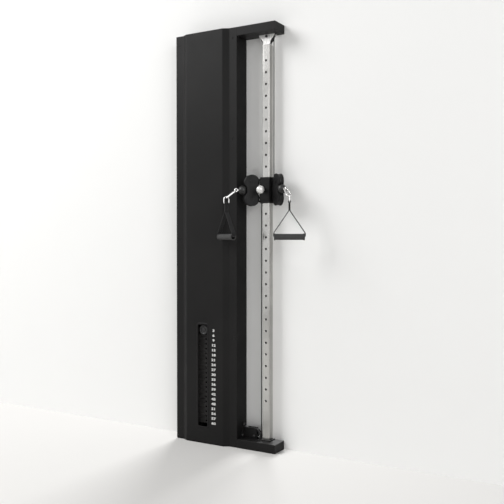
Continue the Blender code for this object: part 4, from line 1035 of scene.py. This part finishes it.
def boltShape(halfSpan, radius, height):
    # a cap screw right through along Y, with a hexagon socket in front and a nut behind
    top, shank = halfSpan + height, bolt["shank"]
    profile = [(0, -top), (radius - 0.0006, -top), (radius, -top + 0.0006), (radius, -halfSpan)]
    profile += [(shank, -halfSpan), (shank, halfSpan), (0, halfSpan)]
    socket = prism(hexagon(bolt["socket"], 30), "Y", -top - 0.001, -halfSpan - height * 0.35)
    shape = cutFrom(turned(profile, "Y", steps=40), socket)
    return together(shape, rounded(prism(hexagon(radius, 0), "Y", halfSpan, top), 0.0005, 2))


def buildAxles():
    height = bolt["axleHead"]
    for node in ("column_pulley_axle", "lower_pulley_axle"):
        low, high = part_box(node)
        shape = boltShape((high.y - low.y) / 2 - height, (high.z - low.z) / 2, height)
        addPiece(node, shape, "darkSteel", at=Matrix.Translation(middleOf(node)))


bracketBolts = {"spots": ((-0.018, 0.056), (-0.002, 0.108)), "flange": 0.0053, "height": 0.0058}


def buildLowerBracket():
    # the bracket is dark coat but takes the lighter powder coat finish: painted light that makes up for the
    # housing's shadow on it
    addPiece("lower_pulley_bracket", refined("lower_pulley_bracket", 0.0009), "powder", slot="dark_coat")
    radius, top = bolt["head"], bracketBolts["height"]
    heads = []
    for y, z in bracketBolts["spots"]:
        washer = rounded(peg(bolt["washer"], 0, 0.0010, "X", steps=40), 0.0002, 1)
        profile = [(0, 0.001), (radius, 0.001), (radius, top - 0.0013), (radius - 0.0012, top), (0, top)]
        head = cutFrom(turned(profile, "X", steps=40), prism(hexagon(bolt["socket"], 30), "X", 0.0025, 0.01))
        both = together(washer, head, peg(bolt["shank"], -0.009, 0.0005, "X"))
        both.transform(Matrix.Translation((shellHigh.x + bracketBolts["flange"], y, z)))
        heads.append(both)
    addPiece("bracket_bolts", together(*heads), "darkSteel")


buildColumn()
buildYoke()
buildAxles()
buildLowerBracket()
addPiece("top_arm", refined("top_arm", 0.0018, 3), "powder")
addPiece("base_arm", refined("base_arm", 0.0014, 3), "powder")
print("frame pieces ready")


# Carriage

carriage = {
    "edge": 0.0016,
    "barrelInner": 0.0093,
    "barrelOuter": 0.0121,
    "barrelLength": 0.0175,
    "knobRadius": 0.0205,
    "knobGap": 0.0088,
    "neck": 0.0088,
    "pin": 0.0045,
}


def buildCarriage():
    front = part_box("carriage_sleeve")[0].y
    centre = middleOf("sleeve_liner")
    sleeve = refined("carriage_sleeve", carriage["edge"], 3)
    addPiece("carriage_sleeve", sleeve, "powder", "carriage", smooth=32)
    back = front + carriage["barrelLength"] + 0.001
    inner, outer = carriage["barrelInner"], carriage["barrelOuter"]
    profile = [(inner, front + 0.0006), (inner + 0.0006, front), (outer - 0.001, front), (outer, front + 0.001)]
    profile += [(outer, front + 0.0042), (outer + 0.0004, front + 0.0046), (outer + 0.0004, back - 0.002)]
    profile += [(outer + 0.0024, back), (inner, back)]
    barrel = turned(profile, "Y", (centre.x, 0, centre.z), 56, ring=True)
    addPiece("pin_barrel", barrel, "powder", "carriage")
    addPiece("sleeve_liner", refined("sleeve_liner", 0.0004), "paleNylon", "carriage")
    buildPullPin(centre, front)


def buildPullPin(centre, front):
    low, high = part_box("pull_pin")
    radius, neck, pin = carriage["knobRadius"], carriage["neck"], carriage["pin"]
    middle = low.y + radius
    flat = front - carriage["knobGap"]
    end = math.degrees(math.asin((flat - middle) / radius))
    profile = [(0, low.y), (0.0030, low.y + 0.0002)] + arc((0, middle), radius, -78, end - 2, 26)
    profile += [(radius * math.cos(math.radians(end)) - 0.0006, flat)]
    profile += [(neck + 0.0002, flat), (neck, flat + 0.0002)]
    profile += [(neck, front - 0.0006), (neck - 0.0015, front + 0.001), (pin, front + 0.001)]
    profile += [(pin, high.y - 0.001), (pin - 0.001, high.y), (0, high.y)]
    shape = turned(profile, "Y", (centre.x, 0, centre.z), 72)
    addPiece("pull_pin", shape, "satin", "pull_pin", smooth=40)


buildCarriage()
print("carriage ready")


# Swivelling heads, each in its own space: X outwards from the swivel, Y square to the two plates

head = {
    "reach": 0.054,
    "discRadius": 0.03875,
    "discSpacing": 0.0835,
    "waistHalf": 0.0274,
    "inner": 0.0105,
    "sheet": 0.004,
    "tongue": 0.016,
    "webRoot": 0.0145,
    "webEnd": 0.020,
    "webHalf": 0.012,
    "swivel": 0.0073,
    "pinBore": 0.0034,
    "pinRadius": 0.006,
    "pinHalf": 0.0657,
    "shoulder": 0.0497,
    "cableTurn": 0.046,
    "boltRadius": 0.008,
    "boltHead": 0.0035,
    "washer": 0.0112,
    "washerThick": 0.0008,
    "wheelHalf": 0.008,
    "wheelHub": 0.0102,
    "ball": 0.023,
}


def headPlace(side):
    axis = jointPlace[side + "_head_swivel"]
    ball = middleOf(side + "_ball_stop")
    place = Matrix.Translation((axis.x, axis.y, middleOf("sleeve_liner").z))
    return place @ Matrix.Rotation(math.atan2(ball.y - axis.y, ball.x - axis.x), 4, "Z")


def discCentre(level):
    return Vector((head["reach"], 0, level * head["discSpacing"] / 2))


def headOutline():
    half = head["discSpacing"] / 2
    turn = math.degrees(math.acos(head["waistHalf"] / head["discRadius"]))
    upper = arc((head["reach"], half), head["discRadius"], -turn, 180 + turn, 44)
    return upper + arc((head["reach"], -half), head["discRadius"], 180 - turn, 360 + turn, 44)


def buildHeadFrame(side, place):
    pin, shoulder = head["pinHalf"], head["shoulder"]
    tip, swivel = head["pinRadius"], head["swivel"]
    profile = [(head["pinBore"], -pin), (tip - 0.0004, -pin), (tip, -pin + 0.0004), (tip, -shoulder)]
    profile += [(swivel - 0.0003, -shoulder), (swivel, -shoulder + 0.0003)]
    shapes = [turned(bothWays(profile), steps=40, ring=True)]
    start = head["reach"] - head["waistHalf"]
    root, end, rise = head["webRoot"], head["webEnd"], head["webHalf"]
    for sheet in sheetPair(head["inner"], head["sheet"]):
        drills = [peg(bolt["hole"], -0.03, 0.03, "Y", discCentre(level)) for level in (-1, 1)]
        shapes.append(rounded(cutFrom(prism(headOutline(), "Y", *sheet), *drills), 0.0009, 3, 50))
        tongue = block((root, start + 0.003), sheet, (-head["tongue"], head["tongue"]))
        shapes.append(rounded(tongue, 0.0009, 2))
    for inner, half in ((0.0044, 0.009), (root, 0.0115)):
        shapes.append(rounded(block((inner, end), (-half, half), (-rise, rise)), 0.0012, 2))
    addPiece(side + "_head_frame", together(*shapes), "black", side + "_head", at=place)


def buildHeadWheels(side, place):
    outside = head["inner"] + head["sheet"]
    inner, outer = bolt["shank"] + 0.0001, head["washer"]
    for name, level in (("upper", 1), ("lower", -1)):
        node = side + "_" + name + "_wheel"
        spot = place @ Matrix.Translation(discCentre(level))
        buildPulley(node, head["wheelHalf"], head["wheelHub"], spot)
        shapes = [boltShape(outside + slack, head["boltRadius"], head["boltHead"])]
        for low, high in sheetPair(outside + 0.0001, head["washerThick"]):
            profile = [(inner, low), (outer, low), (outer, high), (inner, high)]
            shapes.append(turned(profile, "Y", steps=40, ring=True))
        addPiece(node + "_bolt", together(*shapes), "black", side + "_head", "steel", spot)


def buildBall(side, place):
    # a rubber ball with its parting line
    radius = head["ball"]
    profile = [(0, -radius)]
    for step in range(1, 32):
        turn = math.pi * step / 32
        dent = 0.0003 if step == 16 else 0.0
        profile.append(((radius - dent) * math.sin(turn), -(radius - dent) * math.cos(turn)))
    shape = turned(profile + [(0, radius)], "X", steps=56)
    reach = (middleOf(side + "_ball_stop") - place.translation).length
    spot = place @ Matrix.Translation((reach, 0, 0))
    addPiece(side + "_ball_stop", shape, "rubber", side + "_cable_end", at=spot)
    return reach


def tangent(start, centre, radius, turn):
    away = (start[0] - centre[0], start[1] - centre[1])
    angle = math.atan2(away[1], away[0]) + turn * math.acos(radius / math.hypot(*away))
    return math.degrees(angle)


def straight(start, end, count):
    first, last = Vector(start), Vector(end)
    return [first.lerp(last, step / count) for step in range(count + 1)]


def buildHeadCable(side, place, reach):
    # from the swivel's mouth round one wheel to the ball
    level = -1 if side == "left" else 1
    centre = (head["reach"], level * head["discSpacing"] / 2)
    bend = (0.0, level * head["cableTurn"])
    ball = (reach - head["ball"] - 0.0002, 0.0)
    start = tangent(bend, centre, cable["headPitch"], level)
    end = tangent(ball, centre, cable["headPitch"], -level)
    start, end = (start % 360, end % 360) if level < 0 else (-(-start % 360), -(-end % 360))
    wrap = arc(centre, cable["headPitch"], start, end, 30)
    lead = straight(bend, wrap[0], 4)[1:4]
    tail = straight(wrap[-1], ball, 24)[1:]
    mouth = (0.0, level * (head["pinHalf"] + 0.002))
    flat = [mouth, (0.0, level * (head["cableTurn"] + 0.004)), bend] + lead + wrap + tail
    path = [place @ Vector((x, 0, z)) for x, z in flat]
    begin = place @ Vector((wrap[-1][0], 0, wrap[-1][1]))
    finish = place @ Vector((ball[0], 0, ball[1]))
    bodies = (side + "_head", side + "_cable_end", begin, finish)
    addPiece(side + "_head_cable", tubeAlong(path, cable["radius"]), "jacket", bodies, smooth=60)


hook = {
    "droop": 38,
    "length": 0.064,
    "halfWidth": 0.0118,
    "eyeEnd": 0.0086,
    "wire": 0.0032,
    "gateStart": 0.017,
    "gateEnd": 0.015,
    "gateRadius": 0.0028,
}
eye = {"ring": 0.0075, "wire": 0.0025, "shank": 0.004, "shankLength": 0.004}


def hookFrame(place, reach):
    # X down the hook's length, Y across it
    eyeX = reach + head["ball"] + slack + eye["shankLength"] + eye["ring"]
    room = eye["ring"] - eye["wire"] - hook["wire"] - slack
    along = Matrix.Translation((eyeX, 0, 0)) @ Matrix.Rotation(math.radians(hook["droop"]), 4, "Y")
    return eyeX, place @ along @ Matrix.Translation((room, 0, 0))


def buildCableEye(side, place, eyeX):
    ring = tubeAlong([(x, 0, z) for x, z in arc((0, 0), eye["ring"], 0, 352, 44)], eye["wire"], 16, True)
    end, shank = -eye["ring"], eye["shank"]
    start = end - eye["shankLength"]
    profile = [(0, start), (shank - 0.0005, start), (shank, start + 0.0005), (shank, end - 0.0008)]
    profile += [(shank * 0.75, end + 0.0012), (0, end + 0.0012)]
    shape = together(ring, turned(profile, "X", steps=32))
    spot = place @ Matrix.Translation((eyeX, 0, 0))
    addPiece(side + "_cable_eye", shape, "chrome", side + "_cable_end", at=spot, smooth=50)


def buildHook(side, place):
    # wide where the handle hangs, narrow at the cable's eye
    wide, narrow, length = hook["halfWidth"], hook["eyeEnd"], hook["length"]
    nose, hinge = length - hook["gateEnd"], hook["gateStart"]
    outline = [(nose, wide), (nose + 0.0016, wide)] + arc((length - wide, 0), wide, 90, -86, 24)
    outline += arc((narrow, 0), narrow, 266, 110, 24) + [(hinge - 0.001, wide), (hinge, wide)]
    wire = tubeAlong([(x, y, 0) for x, y in outline], hook["wire"], 20)
    half, rim = 0.0038, 0.0034
    profile = [(0, -half), (0.0030, -half), (rim, -0.0032), (rim, 0.0032), (0.0030, half), (0, half)]
    shape = together(wire, turned(profile, "Z", (hinge + 0.0006, wide, 0)))
    addPiece(side + "_snap_hook", shape, "chrome", side + "_cable_end", at=place, smooth=50)
    radius, waist = hook["gateRadius"], hook["gateRadius"] * 0.78
    start, end = hinge + 0.0003, nose - 0.0006
    profile = [(0, start)]
    for turn in (0.4, 0.8, 1.2, 1.57):
        profile.append((radius * math.sin(turn), start + radius * (1 - math.cos(turn))))
    profile += [(radius, end - 0.0045), (waist, end - 0.0040), (waist, end - 0.0030)]
    profile += [(radius, end - 0.0025), (radius, end - 0.0004), (radius - 0.0004, end), (0, end)]
    gate = turned(profile, "X", (0, wide, 0), 32)
    addPiece(side + "_hook_gate", gate, "chrome", side + "_hook_gate", at=place)


# Handles, each in its own space: X along the grip, Z up, from where the ring hangs

handle = {
    "turn": 30,
    "ringWire": 0.0025,
    "ringHalf": 0.0145,
    "ringTop": 0.0060,
    "ringBottom": -0.0270,
    "ringCorner": 0.0045,
    "strapDrop": 0.171,
    "strapWidth": 0.022,
    "strapThick": 0.0040,
    "strapStem": 0.036,
    "strapBend": 0.007,
    "gripHalf": 0.075,
    "gripRadius": 0.0150,
    "capRadius": 0.017,
    "capLength": 0.007,
    "capRound": 0.0022,
    "bore": 0.0116,
    "seamInset": 0.0035,
    "stitch": 0.0030,
    "thread": 0.00035,
}
gripZ = handle["ringBottom"] - handle["strapDrop"]


def buildRing(side, place):
    half, top, bottom, corner = [handle["ring" + part] for part in ("Half", "Top", "Bottom", "Corner")]
    flat = arc((0, top - half), half, 0, 180, 32) + arc((-half + corner, bottom + corner), corner, 180, 270, 8)
    flat += arc((half - corner, bottom + corner), corner, 270, 360, 8)
    ring = tubeAlong([(0, y, z) for y, z in flat], handle["ringWire"], 16, True)
    addPiece(side + "_d_ring", ring, "chrome", side + "_handle", at=place, smooth=60)


def bandAlong(path, width, thick):
    # flat ribbed webbing with soft edges along (x, z) points
    half, ribs = width / 2, 9
    across = [(-half + 0.0004, -0.35), (-half, 0.0), (-half + 0.0004, 0.35), (-half + 0.0012, 0.5)]
    for rib in range(1, ribs):
        across.append((-half + width * rib / ribs, 0.5 if rib % 2 else 0.46))
    across += [(-x, lift) for x, lift in reversed(across[:4])]
    section = across + [(x, -lift) for x, lift in reversed(across[3:-3])][1:-1]
    points = [Vector((x, z)) for x, z in path]
    shape = bmesh.new()
    rows = []
    lengths = []
    for index, spot in enumerate(points):
        before, after = points[max(index - 1, 0)], points[min(index + 1, len(points) - 1)]
        along = (after - before).normalized()
        normal = Vector((-along.y, along.x))
        bend = 1.0
        if 0 < index < len(points) - 1:
            one, two = (spot - before).normalized(), (after - spot).normalized()
            bend = 1 / max(math.cos(one.angle(two, 0.0) / 2), 0.5)
        row = []
        for y, lift in section:
            offset = normal * lift * thick * bend
            row.append(shape.verts.new((spot.x + offset.x, y, spot.y + offset.y)))
        rows.append(row)
        lengths.append((lengths[-1] if lengths else 0.0) + (spot - before).length)
    skin(shape, rows, [y for y, lift in section + section[:1]], lengths)
    shape.faces.new(rows[0])
    shape.faces.new(rows[-1])
    return outward(shape)


def smoothPath(corners, radius, steps=6, spacing=0.004):
    # straight runs with eased corners, cut into short even lengths
    eachCorner = eased(corners, radius, steps, closed=False)
    points = [eachCorner[0]]
    for first, second in zip(eachCorner, eachCorner[1:]):
        pieces = max(1, round(math.dist(first, second) / spacing))
        for step in range(1, pieces + 1):
            points.append(tuple(a + (b - a) * (step / pieces) for a, b in zip(first, second)))
    pairs = zip(points, points[1:])
    return points[:1] + [spot for before, spot in pairs if math.dist(before, spot) > 0.00005]


def buildStrap(side, place):
    # two plies side by side in the stem, then one leg to each end of the grip and back through it
    thick, bend, bar = handle["strapThick"], handle["strapBend"], handle["ringBottom"]
    loop = handle["ringWire"] + 0.0006 + thick / 2
    fork = bar - loop - thick / 2 - handle["strapStem"]
    end = handle["gripHalf"] + 0.0005 + thick / 2
    corner = gripZ + handle["capRadius"] + 0.0008
    leg = [(thick / 2, bar - loop - 0.002), (thick / 2, fork), (end, corner), (end, gripZ), (0.03, gripZ)]
    path = smoothPath([(0.0, gripZ), *leg[::-1]], bend) + arc((0, bar), loop, -68, 248, 20)
    path += smoothPath([(-x, z) for x, z in leg] + [(-0.001, gripZ)], bend)
    band = bandAlong(path, handle["strapWidth"], thick * 0.96)
    addPiece(side + "_strap", band, "webbing", side + "_handle", at=place, smooth=50)
    buildStitches(side, place, fork + 0.004, bar - loop - 0.006)


def buildStitches(side, place, low, high):
    # a sewn box with a cross through both plies of the stem, front and back
    half = handle["strapWidth"] / 2 - handle["seamInset"]
    bottomLeft, bottomRight, topLeft, topRight = (-half, low), (half, low), (-half, high), (half, high)
    runs = [(bottomLeft, bottomRight), (topLeft, topRight), (bottomLeft, topLeft)]
    runs += [(bottomRight, topRight), (bottomLeft, topRight), (bottomRight, topLeft)]
    shapes = []
    for start, end in runs:
        count = max(2, round(math.dist(start, end) / handle["stitch"]))
        for index in range(count):
            first, last = (index + 0.12) / count, (index + 0.88) / count
            for facing in (-1, 1):
                path = []
                for share, lift in ((0.0, -0.2), (0.2, 0.25), (0.5, 0.4), (0.8, 0.25), (1.0, -0.2)):
                    where = first + (last - first) * share
                    y, z = [a + (b - a) * where for a, b in zip(start, end)]
                    path.append((facing * (handle["strapThick"] * 0.98 + 0.0004 * lift), y, z))
                shapes.append(tubeAlong(path, handle["thread"], 6))
    addPiece(side + "_strap_stitches", together(*shapes), "nylon", side + "_handle", "webbing", place, 60)


def buildGrip(side, place):
    half, radius, cap = handle["gripHalf"], handle["gripRadius"], handle["capRadius"]
    bore, soft, inner = handle["bore"], handle["capRound"], half - handle["capLength"]
    edge = [(bore, half - 0.0006), (bore + 0.0006, half), (cap - soft, half)]
    edge += [(up, across) for across, up in arc((half - soft, cap - soft), soft, 0, 90, 6)]
    edge += [(cap, inner + 0.0022), (cap - 0.0004, inner + 0.0008)]
    edge += [(radius + 0.0002, inner), (radius, inner - 0.0010)]
    shape = turned(bothWays(edge), "X", steps=72, ring=True)
    spot = place @ Matrix.Translation((0, 0, gripZ))
    addPiece(side + "_grip", shape, "grip", side + "_grip", at=spot, smooth=40)


for side, turn in (("left", -handle["turn"]), ("right", handle["turn"])):
    place = headPlace(side)
    buildHeadFrame(side, place)
    buildHeadWheels(side, place)
    reach = buildBall(side, place)
    buildHeadCable(side, place, reach)
    eyeX, hookPlace = hookFrame(place, reach)
    buildCableEye(side, place, eyeX)
    buildHook(side, hookPlace)
    hang = hookPlace @ Vector((hook["length"], 0, 0))
    handlePlace = Matrix.Translation(hang) @ Matrix.Rotation(math.radians(turn), 4, "Z")
    buildRing(side, handlePlace)
    buildStrap(side, handlePlace)
    buildGrip(side, handlePlace)
print("heads and handles ready")


# Cable: the other five lengths of the one line from handle to handle

def addCable(node, path, body="frame"):
    addPiece(node, tubeAlong(path, cable["radius"]), "jacket", body)


def roundPulley(name, start, end, steps=14):
    centre = middleOf(name + "_pulley")
    return [(x, 0, z) for x, z in arc((centre.x, centre.z), cable["pulleyPitch"], start, end, steps)]


def buildCables():
    addCable("upper_cable", roundPulley("stack_line", 180, 90) + roundPulley("column_top", 90, 0))
    under = roundPulley("return", 180, 0, 28) + roundPulley("base", 180, 270) + roundPulley("lower", 270, 360)
    addCable("lower_cable", under)
    radius = cable["pulleyPitch"]
    line, back, bight = [middleOf(name + "_pulley") for name in ("stack_line", "return", "stack")]
    leftX, rightX = bight.x - radius, bight.x + radius
    path = straight((leftX, 0, line.z), (leftX, 0, bight.z), 40)[:-1] + roundPulley("stack", 180, 360, 28)
    path += straight((rightX, 0, bight.z), (rightX, 0, back.z), 40)[1:]
    addCable("stack_cable", path, ("frame", "lifted_stack", (bight.x, 0, back.z), (bight.x, 0, bight.z)))
    for node, end, facing in (("left_cable_run", 0, -1), ("right_cable_run", 1, 1)):
        x, mouth = facing * radius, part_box("sleeve_liner")[end].z + facing * cable["mouth"]
        path = straight((x, 0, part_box(node)[end].z), (x, 0, mouth), 60)
        addCable(node, path, ("frame", "carriage", path[0], path[-1]))


buildCables()
print("cables ready")

print("all pieces ready")
